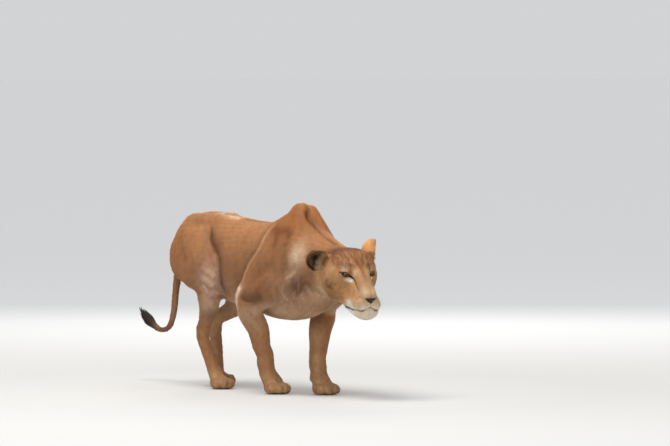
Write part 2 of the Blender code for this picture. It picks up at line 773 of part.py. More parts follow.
def seeds():
    """A point inside each piece of the body, by the piece's name."""
    found = {
        "head": HEAD @ Vector((-0.03, 0, -0.03)),
        "nose_pad": HEAD @ Vector((0.1485, 0, -0.054)),
        "neck": (0.53, -0.01, 0.56),
        "chest": (0.10, 0, 0.55),
        "hips": (-0.30, 0, 0.68),
    }
    for name, side in SIDES.items():
        fore, hind = FORELEG[side], HINDLEG[side]
        found[f"shoulder_{name}"] = on_side(side, fore["shoulder"], -0.14, 0.0, 0.0)
        found[f"forearm_{name}"] = on_side(side, fore["wrist"], 0, 0, 0.03)
        found[f"forepaw_{name}"] = on_side(side, fore["paw"], 0, 0, 0.025)
        found[f"thigh_{name}"] = on_side(side, hind["hip"], 0.04, 0.02, -0.05)
        found[f"shank_{name}"] = on_side(side, hind["hock"], 0.01, 0, 0.03)
        found[f"hindfoot_{name}"] = (on_side(side, hind["hock"]) + on_side(side, hind["paw"])) / 2
        found[f"hindpaw_{name}"] = on_side(side, hind["paw"], 0, 0, 0.025)
    for name, index in (("tail_base", 3), ("tail_middle", 5), ("tail_end", 7), ("tail_tuft", 9)):
        found[name] = TAIL_PATH[index][:3]
    return found


def add_ears(whole, collection):
    """Both ears, cut off a gap above the skin of the head."""
    grown = whole.copy()
    grown.data = whole.data.copy()
    collection.objects.link(grown)
    for vert in grown.data.vertices:
        vert.co += vert.normal * GAP * 1.5
    for word, side in SIDES.items():
        made = ear("cup", side, collection)
        subtract(made, grown)
        pieces = sorted(islands(made, collection), key=lambda piece: -max(piece.dimensions))
        pieces[0].name = f"ear_{word}"
        for crumb in pieces[1:]:
            bpy.data.objects.remove(crumb)
    bpy.data.objects.remove(grown)


def add_eyes(whole, collection):
    """Both eyeballs, each in a socket that is a little larger."""
    for word, side in SIDES.items():
        socket = eyeball("socket", side, collection, 2 * GAP)
        subtract(whole, socket)
        bpy.data.objects.remove(socket)
        eyeball(f"eye_{word}", side, collection)


def name_pieces(pieces):
    """Gives each piece of the body the name whose seed it holds."""
    unnamed = list(pieces)
    for name, point in seeds().items():
        found = [piece for piece in unnamed if holds(piece, point)]
        if len(found) != 1:
            raise ValueError(f"{name} has {len(found)} pieces")
        found[0].name = name
        unnamed.remove(found[0])
    if unnamed:
        raise ValueError(f"{len(unnamed)} pieces have no name")


def stand_at_origin(collection):
    """Moves all so that the box's bottom centre is the origin."""
    points = np.array([vert.co for obj in collection.objects for vert in obj.data.vertices])
    middle = (points.min(axis=0) + points.max(axis=0)) / 2
    for obj in collection.objects:
        obj.data.transform(Matrix.Translation((-middle[0], -middle[1], 0)))


def colour(collection):
    """The coat's colour on all but the eyes, the nose and the tail's tuft."""
    coat, dark, iris = material("coat", COAT), material("dark", DARK), material("iris", IRIS)
    others = {"eye": iris, "nose": dark, "tail_tuft": dark}
    for obj in collection.objects:
        look = next((other for start, other in others.items() if obj.name.startswith(start)), coat)
        obj.data.materials.clear()
        obj.data.materials.append(look)


def main():
    collection = start_clean()
    whole = body(collection)
    thin_out(whole, BODY_TRIANGLES)
    flatten_soles(whole)
    add_ears(whole, collection)
    add_eyes(whole, collection)
    name_pieces(cut_apart(whole, collection))
    stand_at_origin(collection)
    colour(collection)


if __name__ == "__main__":
    main()
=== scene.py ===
"""The looks of a life-size lioness in a low stalking walk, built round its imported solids.

One skin replaces all the nodes of flesh and lies inside them by the coat's depth. It is a voxel
remesh of the solids, smoothed, refined on the face and paws, and shaped by bumps, grooves, folds
and lids. Fur is mesh tufts that follow a flow over the skin. Skin and tufts take their colour from
the same function of place. Lengths are in metres, and in the head's own frame in millimetres: its
origin is midway between the eyes, +X runs along the palate and +Y to the left.
"""

import math

import bmesh
import bpy
import numpy as np
from mathutils import Matrix, Vector
from mathutils.bvhtree import BVHTree


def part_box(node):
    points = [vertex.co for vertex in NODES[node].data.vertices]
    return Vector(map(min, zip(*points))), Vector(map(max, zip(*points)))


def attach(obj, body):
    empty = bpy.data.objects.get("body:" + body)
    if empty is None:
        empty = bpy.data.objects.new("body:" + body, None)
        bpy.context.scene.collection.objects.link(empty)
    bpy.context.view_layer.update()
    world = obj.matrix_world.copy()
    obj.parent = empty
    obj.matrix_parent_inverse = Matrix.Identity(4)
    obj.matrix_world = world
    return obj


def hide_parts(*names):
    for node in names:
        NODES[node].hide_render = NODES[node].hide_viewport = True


RIGHT, LEFT = -1, 1
SIDES = {"right": RIGHT, "left": LEFT}

# The head's frame: half the distance between the eyes, an eye's radius, how far the nose lies below
# straight ahead of the eyes, and the way the left eye looks.
EYE_SPREAD, EYE_RADIUS = 53.5, 18.5
NOSE_DROP = math.radians(20)
GAZE = (0.90, 0.36, 0.20)

# The ears: root, then the directions of the tip and of the opening. They are turned differently, to listen.
# Their measures are in millimetres, the width is half of the whole, and the bend is in degrees.
EAR_PLACES = {
    "ear_right": ((-100, -90, -2), (-0.22, -0.88, 0.42), (0.88, -0.30, -0.10)),
    "ear_left": ((-102, 99, 18), (-0.85, 0.36, 0.45), (0.22, 0.96, -0.15)),
}
EAR_LENGTH, EAR_WIDTH, EAR_DEPTH, EAR_WALL, EAR_BEND = 97, 51, 36, 4.0, 98
EAR_MIDDLE, EAR_REACH = EAR_LENGTH * 0.46, EAR_LENGTH * 0.54  # the bowl's centre, and from there to the tip

# The skin's mesh: the voxel, how far the solids are swollen so that they fuse, and how far below their
# faces it lies by region.
VOXEL, PUSH = 0.0091, 0.0006
DEPTH_TRUNK, DEPTH_HEAD, DEPTH_PAW, DEPTH_TAIL = 0.0045, 0.0016, 0.0018, 0.0028

# The photo's view.
AZIMUTH, PITCH, DISTANCE = math.radians(55), math.radians(1.898), 23.8
TARGET = Vector((0.3769, 0.1216, 0.7307))

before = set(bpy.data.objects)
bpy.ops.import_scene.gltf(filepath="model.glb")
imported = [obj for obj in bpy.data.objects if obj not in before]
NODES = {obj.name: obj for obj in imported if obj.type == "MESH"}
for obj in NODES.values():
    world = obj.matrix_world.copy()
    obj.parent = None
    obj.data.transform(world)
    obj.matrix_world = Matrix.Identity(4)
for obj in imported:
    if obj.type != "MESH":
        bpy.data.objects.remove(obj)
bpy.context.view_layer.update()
EARS = ("ear_left", "ear_right")
FLESH = sorted(set(NODES) - {"eye_left", "eye_right"})


# ---------------- frame and numbers


def middle(name):
    """The middle of a solid's box."""
    low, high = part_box(name)
    return (low + high) / 2


def head_frame():
    """The matrix from the head's frame in millimetres to the model's in metres."""
    left = middle("eye_left") - middle("eye_right")
    origin = (middle("eye_left") + middle("eye_right")) / 2
    size = left.length / (2 * EYE_SPREAD)
    left.normalize()
    ahead = middle("nose_pad") - origin
    ahead = (ahead - left * ahead.dot(left)).normalized()
    forward = Matrix.Rotation(-NOSE_DROP, 3, left) @ ahead
    turn = Matrix((forward, left, forward.cross(left))).transposed().to_4x4()
    return Matrix.Translation(origin) @ turn @ Matrix.Scale(size, 4)


HEAD = np.array(head_frame())
UNHEAD = np.linalg.inv(HEAD)


def moved(matrix, points):
    """The points in another frame."""
    return points @ matrix[:3, :3].T + matrix[:3, 3]


def turned(matrix, vectors):
    """The directions in another frame."""
    return unit(vectors @ matrix[:3, :3].T)


def unit(vectors):
    """The directions at length 1."""
    return vectors / np.maximum(np.linalg.norm(vectors, axis=-1, keepdims=True), 1e-12)


def step(low, high, value):
    """0 below low and 1 above high, or the other way round, smoothly between."""
    t = np.clip((value - low) / (high - low), 0, 1)
    return t * t * (3 - 2 * t)


def blob(points, centre, radii):
    """1 at centre, falling to about a third at the radii."""
    return np.exp(-(((points - np.array(centre)) / np.array(radii)) ** 2).sum(axis=1))


def side_blob(points, centre, radii):
    """blob() as seen from the side, with the centre and the radii in x and z."""
    return blob(points * [1, 0, 1], (centre[0], 0, centre[1]), (radii[0], 1, radii[1]))


def from_line(points, path):
    """Each point's distance from a path of straight runs, and how far along the path it is, from 0 to 1."""
    path = np.array(path, float)
    runs = np.linalg.norm(np.diff(path, axis=0), axis=1)
    starts = np.concatenate([[0], np.cumsum(runs)])
    best, where = np.full(len(points), np.inf), np.zeros(len(points))
    for a, b, run, start in zip(path, path[1:], runs, starts):
        t = np.clip((points - a) @ (b - a) / run**2, 0, 1)
        away = np.linalg.norm(points - (a + t[:, None] * (b - a)), axis=1)
        nearer = away < best
        best[nearer], where[nearer] = away[nearer], (start + t * run)[nearer]
    return best, where / starts[-1]


def curve(points, steps=6):
    """The points with Catmull-Rom points between them."""
    rows = np.array(points, float)
    rows = np.vstack([2 * rows[0] - rows[1], rows, 2 * rows[-1] - rows[-2]])
    found = []
    for a, b, c, d in zip(rows, rows[1:], rows[2:], rows[3:]):
        for t in np.arange(steps) / steps:
            bend = (2 * a - 5 * b + 4 * c - d) * t**2 + (3 * b - a - 3 * c + d) * t**3
            found.append(0.5 * (2 * b + (c - a) * t + bend))
    return np.array([*found, rows[-2]])


def line(points, path, width):
    """1 on a smooth path, falling off over width, and at its ends over a tenth of its length."""
    away, along = from_line(points, curve(path))
    ends = np.minimum(1, np.minimum(along, 1 - along) * 10 + 0.25)
    return np.exp(-((away / width) ** 2)) * ends


def side_line(points, path, width, side=0):
    """line() as seen from the side, with a path in x and z, on one side of the body or on both."""
    share = line(points * [1, 0, 1], [(x, 0, z) for x, z in path], width)
    return share * (step(0.012, 0.045, points[:, 1] * side) if side else 1)


def shifted(path, x, z):
    """A path in x and z, moved."""
    return [(a + x, b + z) for a, b in path]


def seen_line(points, path, width, axis):
    """line() as seen along an axis, so that the path needn't lie on the surface."""
    axis = unit(np.array(axis, float))
    path = np.array(path, float)
    return line(points - np.outer(points @ axis, axis), path - np.outer(path @ axis, axis), width)


# ---------------- meshes


def object_of(name, mesh):
    obj = bpy.data.objects.new(name, mesh)
    bpy.context.scene.collection.objects.link(obj)
    return obj


def settled(obj):
    """The object's evaluated mesh. The object is removed."""
    mesh = bpy.data.meshes.new_from_object(obj.evaluated_get(bpy.context.evaluated_depsgraph_get()))
    bpy.data.objects.remove(obj)
    return mesh


def read(items, field, width, kind=np.float32):
    """A field of all the items, as rows of width numbers."""
    flat = np.empty(len(items) * width, kind)
    items.foreach_get(field, flat)
    return flat.reshape(-1, width)


def coordinates(mesh):
    return read(mesh.vertices, "co", 3).astype(float)


def normals(mesh):
    return read(mesh.vertex_normals, "vector", 3).astype(float)


def edges(mesh):
    return read(mesh.edges, "vertices", 2, np.int32)


def triangles(mesh):
    mesh.calc_loop_triangles()
    return read(mesh.loop_triangles, "vertices", 3, np.int32)


def place(mesh, points):
    mesh.vertices.foreach_set("co", points.astype(np.float32).ravel())
    mesh.update()


def add_rings(bm, rings):
    """Joins rings of points with faces, each ring to the next, and returns the rings' corners."""
    made = [[bm.verts.new(spot) for spot in ring] for ring in rings]
    for one, two in zip(made, made[1:]):
        for i in range(len(one)):
            bm.faces.new((one[i - 1], one[i], two[i], two[i - 1]))
    return made


def mesh_of(name, bm):
    """A new mesh from a bmesh, which is freed."""
    mesh = bpy.data.meshes.new(name)
    bm.to_mesh(mesh)
    bm.free()
    return mesh


def fused(names):
    """The named solids as one closed surface of even squares."""
    whole = bmesh.new()
    for name in names:
        part = bmesh.new()
        part.from_mesh(NODES[name].data)
        bmesh.ops.remove_doubles(part, verts=part.verts, dist=1e-5)
        part.normal_update()
        for vert in part.verts:
            vert.co += vert.normal * PUSH
        mesh = mesh_of("part", part)
        whole.from_mesh(mesh)
        bpy.data.meshes.remove(mesh)
    obj = object_of("fused", mesh_of("fused", whole))
    remesh = obj.modifiers.new("fuse", "REMESH")
    remesh.mode = "VOXEL"
    remesh.voxel_size = VOXEL
    return settled(obj)


def relax(mesh, share, rounds, keep=True):
    """Smooths by shares from 0 to 1. keep pushes back out after each round, which holds the volume."""
    points, pairs = coordinates(mesh), edges(mesh)
    one, two = pairs.T
    count = np.bincount(pairs.ravel(), minlength=len(points))[:, None]
    for _ in range(rounds):
        for factor in (0.5, -0.52) if keep else (0.5,):
            total = np.empty_like(points)
            for axis in range(3):
                total[:, axis] = np.bincount(one, points[two, axis], len(points))
                total[:, axis] += np.bincount(two, points[one, axis], len(points))
            points += (factor * share)[:, None] * (total / count - points)
    place(mesh, points)


def refine(mesh, chosen):
    """Splits each face whose corners are all chosen into four, and its neighbours to match."""
    bm = bmesh.new()
    bm.from_mesh(mesh)
    faces = [face for face in bm.faces if all(chosen[vert.index] for vert in face.verts)]
    split = {edge for face in faces for edge in face.edges}
    bmesh.ops.subdivide_edges(bm, edges=list(split), cuts=1, use_grid_fill=True)
    bm.to_mesh(mesh)
    bm.free()


# ---------------- regions


def regions(points):
    """Shares from 0 to 1 of the head, the paws, the lower legs and the tail at each point."""
    local = moved(UNHEAD, points)
    x, _, z = points.T
    head = step(-190, -120, local[:, 0]) * step(0.30, 0.34, z)
    paw = step(0.105, 0.06, z)
    leg = step(0.42, 0.30, z) * (1 - head)
    tail = step(-0.535, -0.575, x) * step(0.20, 0.22, z)
    return local, head, paw, leg * (1 - tail), tail


def coat_depth(points):
    """How far the skin lies below the solids' faces."""
    _, head, paw, leg, tail = regions(points)
    depth = DEPTH_TRUNK + (0.5 * (DEPTH_TRUNK + DEPTH_PAW) - DEPTH_TRUNK) * leg
    for share, value in ((paw, DEPTH_PAW), (tail, DEPTH_TAIL), (head, DEPTH_HEAD)):
        depth = depth + (value - depth) * share
    return depth


# ---------------- the head's shape

# Mirrored to both sides, in the head's frame in millimetres.
MOUTH = [(153, 0, -87), (152, 10, -92), (149, 25, -99), (146, 36, -102), (137, 48, -102),
         (118, 53, -107), (96, 55, -112), (78, 56, -117), (54, 58, -125), (32, 60, -133)]
PHILTRUM = [(154, 0, -66), (154, 0, -88)]
NOSTRIL = [(0, 8, -62), (0, 12, -60), (0, 17, -56), (0, 22, -50)]  # seen from in front

BUMPS = [  # centre, radii, height
    ((122, 40, -84), (30, 17, 22), 5.0),  # whisker pad
    ((96, 48, -94), (26, 14, 18), 3.0),
    ((146, 17, -80), (12, 12, 10), 3.0),  # front of the upper lip
    ((140, 0, -132), (20, 26, 14), 3.0),  # chin
    ((60, 58, -136), (40, 12, 12), 2.0),  # lower lip's side
    ((150, 0, -52), (9, 22, 9), 2.0),  # nose leather
    ((-20, 42, 36), (30, 22, 12), 3.0),  # brow
    ((25, 40, 22), (16, 12, 10), 2.0),
    ((20, 62, -24), (28, 18, 10), 2.5),  # below the eye
    ((-60, 108, -40), (34, 18, 20), 4.0),  # cheekbone's arch
    ((-75, 104, -82), (42, 22, 26), 4.0),  # cheek
    ((-44, 70, -126), (46, 32, 34), 15.0),  # jaw's angle
    ((-92, 86, -2), (30, 22, 30), 6.0),  # root of the ear
]
GROOVES = [  # path, width, depth
    (MOUTH, 2.3, 5.5),
    (PHILTRUM, 1.8, 3.0),
    ([(70, 0, 16), (30, 0, 38), (-20, 0, 64), (-70, 0, 77)], 9.0, 2.6),  # the forehead's middle
    ([(24, 34, -6), (46, 33, -14), (80, 36, -28), (112, 42, -48)], 8.0, 2.6),  # side of the bridge
    ([(-6, 40, 26), (18, 32, 22), (32, 26, 24)], 4.0, 1.6),  # over the upper lid
    ([(-40, 88, -8), (-10, 82, -28), (30, 62, -48), (70, 54, -62)], 9.0, 2.2),  # below the cheekbone
    ([(6, 72, -16), (24, 60, -22), (38, 44, -18)], 4.0, 1.2),  # below the lower lid
    ([(150, 27, -47), (138, 33, -50), (120, 37, -56)], 4.0, 1.6),  # round the nose's wing
]


def mirrored(local):
    """The places with the right side's laid over the left side's."""
    return local * [1, 0, 1] + np.abs(local) * [0, 1, 0]


def shape_head(mesh):
    """Raises the bumps and cuts the grooves, nostrils and mouth."""
    points, outward = coordinates(mesh), normals(mesh)
    local = moved(UNHEAD, points)
    near = local[:, 0] > -170
    spot, out = local[near], turned(UNHEAD, outward[near])
    half = mirrored(spot)
    height = np.zeros(len(spot))
    for centre, radii, size in BUMPS:
        height += size * blob(half, centre, radii)
    for path, width, depth in GROOVES:
        height -= depth * line(half, path, width)
    # The nostril's hollow, and the lower lip that stands back from the upper one.
    ahead = step(128, 136, half[:, 0])
    height -= 4.5 * seen_line(half, NOSTRIL, 2.6, (1, 0, 0)) * ahead
    height -= 6.0 * blob(half * [0, 1, 1], (0, 12, -60), (1, 4.0, 3.4)) * ahead
    away, along = from_line(half, curve(MOUTH))
    below = np.interp(along, np.linspace(0, 1, len(MOUTH)), [z for _, _, z in MOUTH]) - half[:, 2]
    height -= 4.0 * step(0, 3, below) * np.exp(-((away / 11) ** 2)) * step(1.0, 0.8, along)
    spot = spot + out * height[:, None]
    points[near] = moved(HEAD, spot)
    place(mesh, points)


# The opening of the lids in millimetres, seen along its own axis: half its width, and its reach up and down.
LID_HALF, LID_UP, LID_DOWN = 15.6, 6.6, 7.4
LID_AXIS, LID_CORNER = (0.84, 0.44, 0.29), (0.8, -0.6, -0.05)


def line_at(value, middle_value, width):
    """1 where the value is the middle one, falling off over width."""
    return np.exp(-(((value - middle_value) / width) ** 2))


def lid_places(local, side):
    """Each point's place across towards the inner corner, up, and out of the eye's centre, in millimetres,
    how far outside the lids' opening it is, less than 0 inside it, and the way out of the opening."""
    out = unit(np.array(LID_AXIS) * [1, side, 1])
    inner = np.array(LID_CORNER) * [1, side, 1]
    inner = unit(inner - out * (inner @ out))
    up = np.cross(inner, out) * -side
    away = local - [0, side * EYE_SPREAD, 0]
    across, rise, ahead = away @ inner, away @ up, away @ out
    sizes = []
    for reach, way in ((LID_UP, 1), (LID_DOWN, -1)):
        radius = (LID_HALF**2 + reach**2) / (2 * reach)
        sizes.append(np.hypot(across, rise + way * (radius - reach)) - radius)
    return across, rise, ahead, np.maximum(*sizes), out


def shape_lids(mesh):
    """Lays the skin over each eyeball as lids, and sinks what the lids' opening holds below the ball."""
    local = moved(UNHEAD, coordinates(mesh))
    for side in SIDES.values():
        across, rise, ahead, away, out = lid_places(local, side)
        reach = np.hypot(across, rise)
        near = (reach < 48) & (ahead > -14) & (ahead < 45)
        across, rise, ahead, away, reach = (v[near] for v in (across, rise, ahead, away, reach))
        ball = EYE_RADIUS - reach**2 / (2 * EYE_RADIUS)
        lid = ball + 0.7 + 1.4 * step(0.2, 2.0, away) + 0.8 * step(0, 2, away) * step(-1, 3, rise)
        lid += 2.6 * step(4, 10, away) * step(-1, 6, rise) - 1.2 * line_at(away, 4.2, 1.6) * step(0, 3, rise)
        lid = np.where(away < 0, ball - 4.5 + 5.2 * step(-1.1, 0.0, away), lid)
        # The lids melt into the face: soon where it stands higher, and slowly where it falls away.
        share = np.where(ahead > lid, step(13, 4, away), step(34, 3, away))
        local[near] += out * ((lid - ahead) * share)[:, None]
    place(mesh, moved(HEAD, local))


# ---------------- the body's shape

# Folds and edges of muscle, in metres: the paths are seen from the side, in x and z. The two sides differ
# with the stride. The deepest folds are the near side's, before the thigh and above the foreleg.
THIGH_FOLD = [(-0.250, 0.695), (-0.231, 0.671), (-0.175, 0.617), (-0.126, 0.580), (-0.108, 0.545),
              (-0.099, 0.499), (-0.099, 0.447), (-0.092, 0.412)]
ARM_FOLD = [(0.160, 0.410), (0.190, 0.400), (0.230, 0.400), (0.296, 0.418)]
BODY_GROOVES = [  # side, path, width, depth
    (RIGHT, [(0.185, 0.715), (0.183, 0.665), (0.172, 0.615), (0.135, 0.565), (0.092, 0.500), (0.085, 0.450)],
     0.014, 0.0045),  # behind the shoulder
    (LEFT, [(0.130, 0.735), (0.130, 0.680), (0.140, 0.600), (0.125, 0.500), (0.100, 0.430)], 0.014, 0.0045),
    (RIGHT, THIGH_FOLD, 0.014, 0.0105),
    (LEFT, [(-0.305, 0.715), (-0.260, 0.665), (-0.215, 0.609), (-0.170, 0.560), (-0.150, 0.500),
            (-0.150, 0.440)], 0.014, 0.0090),
    (RIGHT, ARM_FOLD, 0.012, 0.0085),
    (LEFT, [(0.195, 0.420), (0.225, 0.396), (0.270, 0.388), (0.325, 0.412)], 0.012, 0.0075),
    (RIGHT, [(0.380, 0.655), (0.410, 0.590), (0.440, 0.530)], 0.022, 0.0060),  # before the shoulder
    (LEFT, [(0.340, 0.665), (0.385, 0.600), (0.430, 0.530)], 0.022, 0.0060),
    (RIGHT, [(0.276, 0.650), (0.298, 0.600), (0.322, 0.545)], 0.008, 0.0026),  # on the shoulder
    (RIGHT, [(0.210, 0.615), (0.230, 0.575), (0.252, 0.535)], 0.008, 0.0026),
    (RIGHT, [(0.100, 0.600), (0.116, 0.520)], 0.009, 0.0026),
    (LEFT, [(0.205, 0.640), (0.215, 0.560)], 0.008, 0.0026),
    (RIGHT, [(-0.408, 0.690), (-0.380, 0.635), (-0.345, 0.590), (-0.287, 0.550)], 0.014, 0.0035),  # buttock
    (LEFT, [(-0.440, 0.680), (-0.410, 0.620), (-0.370, 0.570), (-0.320, 0.530)], 0.014, 0.0035),
]
# The ridge of the near shoulder blade from the side, and the furrow from between the blades along the neck.
SHOULDER_CREST = [(0.232, 0.728), (0.211, 0.700), (0.209, 0.667), (0.199, 0.624), (0.165, 0.581),
                  (0.117, 0.511), (0.110, 0.450)]
MIDLINE = [(0.380, -0.035, 0.785), (0.405, -0.045, 0.760), (0.427, -0.043, 0.739), (0.446, -0.012, 0.705),
           (0.500, -0.012, 0.682), (0.570, -0.014, 0.654), (0.600, -0.020, 0.646)]
RIB_SPACING, WRINKLE_SPACING = 0.046, 0.021


def shape_body(mesh):
    """Cuts the folds, raises ribs and wrinkles, and fills the gap between the shoulder blades."""
    points, outward = coordinates(mesh), normals(mesh)
    height = np.zeros(len(points))
    for side, path, width, depth in BODY_GROOVES:
        height -= depth * side_line(points, path, width, side)
    crest, furrow = side_line(points, SHOULDER_CREST, 0.012, RIGHT), line(points, MIDLINE, 0.011)
    height += 0.0040 * crest - 0.0045 * furrow
    x, y, z = points.T
    # Ribs show faintly behind the shoulder, and loose skin lies in folds on the near hind leg.
    ribs = np.sin((x + 0.35 * (z - 0.5)) * 2 * math.pi / RIB_SPACING)
    flank = side_blob(points, (0.03, 0.53), (0.09, 0.09)) * step(0.09, 0.14, np.abs(y))
    height += 0.0005 * ribs * flank
    wrinkle = np.sin((z + 0.6 * x) * 2 * math.pi / WRINKLE_SPACING + 0.8 * np.sin(x * 70))
    height += 0.0013 * wrinkle * blob(points, (-0.150, -0.17, 0.45), (0.050, 0.08, 0.080))
    # Hair and loose skin bridge the gap between the shoulder blades.
    gap = blob(points, (0.37, 0.006, 0.770), (0.085, 0.030, 0.050)) * step(-0.1, 0.6, outward[:, 2])
    wall = blob(points, (0.375, -0.014, 0.778), (0.07, 0.020, 0.030)) * step(0.1, 0.8, outward[:, 1])
    points += gap[:, None] * [0, 0, 0.036] + wall[:, None] * [0, 0.012, 0]
    place(mesh, points + outward * height[:, None])


def paw_places():
    """The front, the middle across and the width of each paw."""
    for word in SIDES:
        for kind in ("forepaw", "hindpaw"):
            low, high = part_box(f"{kind}_{word}")
            yield high.x, (low.y + high.y) / 2, high.y - low.y


# Places across a paw are shares of its width. A gap between toes runs down from the instep, and spreads.
GAPS = (-0.235, 0, 0.235)
GAP_PATH = [(0.062, 0.80, 0.063), (0.030, 0.95, 0.052), (0.010, 1.05, 0.034), (0.001, 1.1, 0.006)]
TOES = ((-0.37, 0.026), (-0.12, 0.016), (0.12, 0.016), (0.37, 0.026))  # place across, how far back


def toe_gaps(points, width):
    """1 along the middle of each gap between toes."""
    found = np.zeros(len(points))
    near = points[:, 2] < 0.08
    for front, centre, wide in paw_places():
        for spot in GAPS:
            path = [(front - back, centre + spot * wide * spread, up) for back, spread, up in GAP_PATH]
            found[near] = np.maximum(found[near], line(points[near], path, width))
    return found


def shape_paws(mesh):
    """Parts the toes and rounds them."""
    points, outward = coordinates(mesh), normals(mesh)
    height = -0.0075 * toe_gaps(points, 0.005)
    for front, centre, wide in paw_places():
        for spot, back in TOES:
            toe = (front - back, centre + spot * wide, 0.024)
            height += 0.0022 * blob(points, toe, (0.020, 0.012, 0.020))
    place(mesh, points + outward * height[:, None])


# ---------------- skin


def united(mesh, ears):
    """The body's mesh with both ears joined on."""
    obj = object_of("whole", mesh)
    others = [object_of("ear", ear) for ear in ears]
    for other in others:
        join = obj.modifiers.new("join", "BOOLEAN")
        join.operation = "UNION"
        join.solver = "MANIFOLD"
        join.object = other
    mesh = settled(obj)
    for other in others:
        bpy.data.objects.remove(other)
    return mesh


def ear_frame(name):
    """From an ear's frame to the head's, both in millimetres: its root is at the origin, +Z runs to the tip
    and it opens along +X."""
    root, tip, opening = (np.array(v, float) for v in EAR_PLACES[name])
    tip = unit(tip)
    opening = unit(opening - tip * (opening @ tip))
    made = np.eye(4)
    made[:3, :4] = np.stack([opening, np.cross(tip, opening), tip, root], 1)
    return made


def ear_mesh(name):
    """The ear as a thick bowl in the head's place. Its root is sunk in the head."""
    rings, around = 22, 72
    rows = []
    for wall, order in ((0.0, range(rings)), (EAR_WALL, range(rings - 1, -1, -1))):
        for ring in order:
            share = ring / (rings - 1)
            angle = math.radians(EAR_BEND) * share
            thick = wall * (1 - 0.45 * share**3)
            turn = np.arange(around) / around * 2 * math.pi
            wide, tall = EAR_WIDTH - thick, EAR_REACH - thick
            x = -(EAR_DEPTH - thick) * math.cos(angle) * np.ones(around)
            y = wide * math.sin(angle) * np.cos(turn)
            z = EAR_MIDDLE + tall * math.sin(angle) * np.sin(turn)
            # The front edges close towards the root, and the rim is wavy and folds in a little at the tip.
            low = np.clip(1 - np.maximum(z, 0) / (EAR_LENGTH * 0.5), 0, 1)
            y = y * (1 - 0.25 * low)
            x = x + 8 * low + share**2 * (1.6 * np.sin(3 * turn + 0.7) + 5 * np.sin(turn) ** 3 * (z > 0))
            ridge = math.exp(-(((share - 0.55) / 0.12) ** 2)) * 1.6 * np.sin(4 * turn)
            rows.append(np.stack([x + (wall > 0) * ridge, y, z], 1))
    bm = bmesh.new()
    add_rings(bm, rows)
    bmesh.ops.remove_doubles(bm, verts=bm.verts, dist=0.05)
    bmesh.ops.recalc_face_normals(bm, faces=bm.faces)
    mesh = mesh_of("ear", bm)
    place(mesh, moved(HEAD @ ear_frame(name), coordinates(mesh)))
    return mesh


def skin_mesh():
    """The solids fused, smoothed and sunk by the coat's depth, then joined by the ears and shaped."""
    mesh = fused(sorted(set(NODES) - set(EARS)))
    points = coordinates(mesh)
    _, head, paw, leg, tail = regions(points)
    fine = np.maximum.reduce([head, paw, tail, 0.6 * leg])
    relax(mesh, 1 - 0.75 * fine, 40)
    points = coordinates(mesh)
    place(mesh, points - normals(mesh) * (coat_depth(points) + PUSH)[:, None])
    _, head, paw, _, _ = regions(coordinates(mesh))
    refine(mesh, (head > 0.3) | (paw > 0.5))
    _, head, paw, _, _ = regions(coordinates(mesh))
    relax(mesh, np.maximum(head, paw), 4)
    mesh = united(mesh, [ear_mesh(name) for name in EARS])
    local = moved(UNHEAD, coordinates(mesh))
    for name in EARS:
        away = np.linalg.norm(local - EAR_PLACES[name][0], axis=1)
        relax(mesh, step(40, 24, away) * 0.8, 4, keep=False)
    for chosen in (face_zone, detail_zone):
        refine(mesh, chosen(moved(UNHEAD, coordinates(mesh))))
        local = moved(UNHEAD, coordinates(mesh))
        relax(mesh, step(-60, -20, local[:, 0]) * 0.9, 3)
    shape_body(mesh)
    shape_paws(mesh)
    shape_head(mesh)
    shape_lids(mesh)
    return mesh


def face_zone(local):
    """The face, whose mesh is split once more."""
    return (local[:, 0] > -22) & (np.abs(local[:, 1]) < 95)


def detail_zone(local):
    """Round the eyes, mouth and nose, where it is split twice."""
    half = mirrored(local)
    near = np.linalg.norm(half - (2, EYE_SPREAD, 0), axis=1) < 34
    near &= half[:, 0] > -12
    near |= from_line(half, curve(MOUTH))[0] < 6
    near |= (half[:, 0] > 136) & (half[:, 1] < 30) & (half[:, 2] > -74)
    return near


# ---------------- where the coat and the markings lie


def ripple(points, size, seed):
    """A smooth random wave through space, mostly from -1 to 1, with features about size across."""
    rng = np.random.default_rng(seed)
    ways = unit(rng.normal(size=(7, 3))) * rng.uniform(0.6, 1.5, (7, 1)) * 2 * math.pi / size
    waves = np.sin(points @ ways.T + rng.uniform(0, 2 * math.pi, 7))
    return waves.sum(axis=1) / 2.6


def nose_leather(local):
    """1 on the bare leather of the nose, 0 off it."""
    x, y, z = local.T
    y = np.abs(y)
    half = np.interp(z, [-72, -69, -64, -58, -53, -48, -45], [0, 2.5, 9, 16, 22, 23, 15])
    return step(1.2, -1.2, y - half) * step(130, 137, x - 0.25 * (20 - y)) * step(-43, -46, z + 0.06 * y)


def lids_away(local):
    """The distance from the nearer opening of the lids and the height above its middle, in millimetres."""
    found, height = np.full(len(local), 99.0), np.zeros(len(local))
    for side in SIDES.values():
        _, rise, ahead, away, _ = lid_places(local, side)
        nearer = (ahead > 0) & (away < found)
        found, height = np.where(nearer, away, found), np.where(nearer, rise, height)
    return found, height


def ear_places(local, out, name):
    """Each point in the ear's own frame, 1 where it is on the ear, and whether it faces into the bowl."""
    back = np.linalg.inv(ear_frame(name))
    own, facing = moved(back, local), turned(back, out)
    centre = np.array([0, 0, EAR_MIDDLE])
    radii = np.array([EAR_DEPTH, EAR_WIDTH, EAR_REACH])
    round_place = np.linalg.norm((own - centre) / (radii + 3), axis=1)
    on = step(1.16, 1.04, round_place) * step(2, 18, own[:, 2])
    return own, on, (((centre - own) * facing).sum(axis=1) > 0) & (round_place < 1.03)


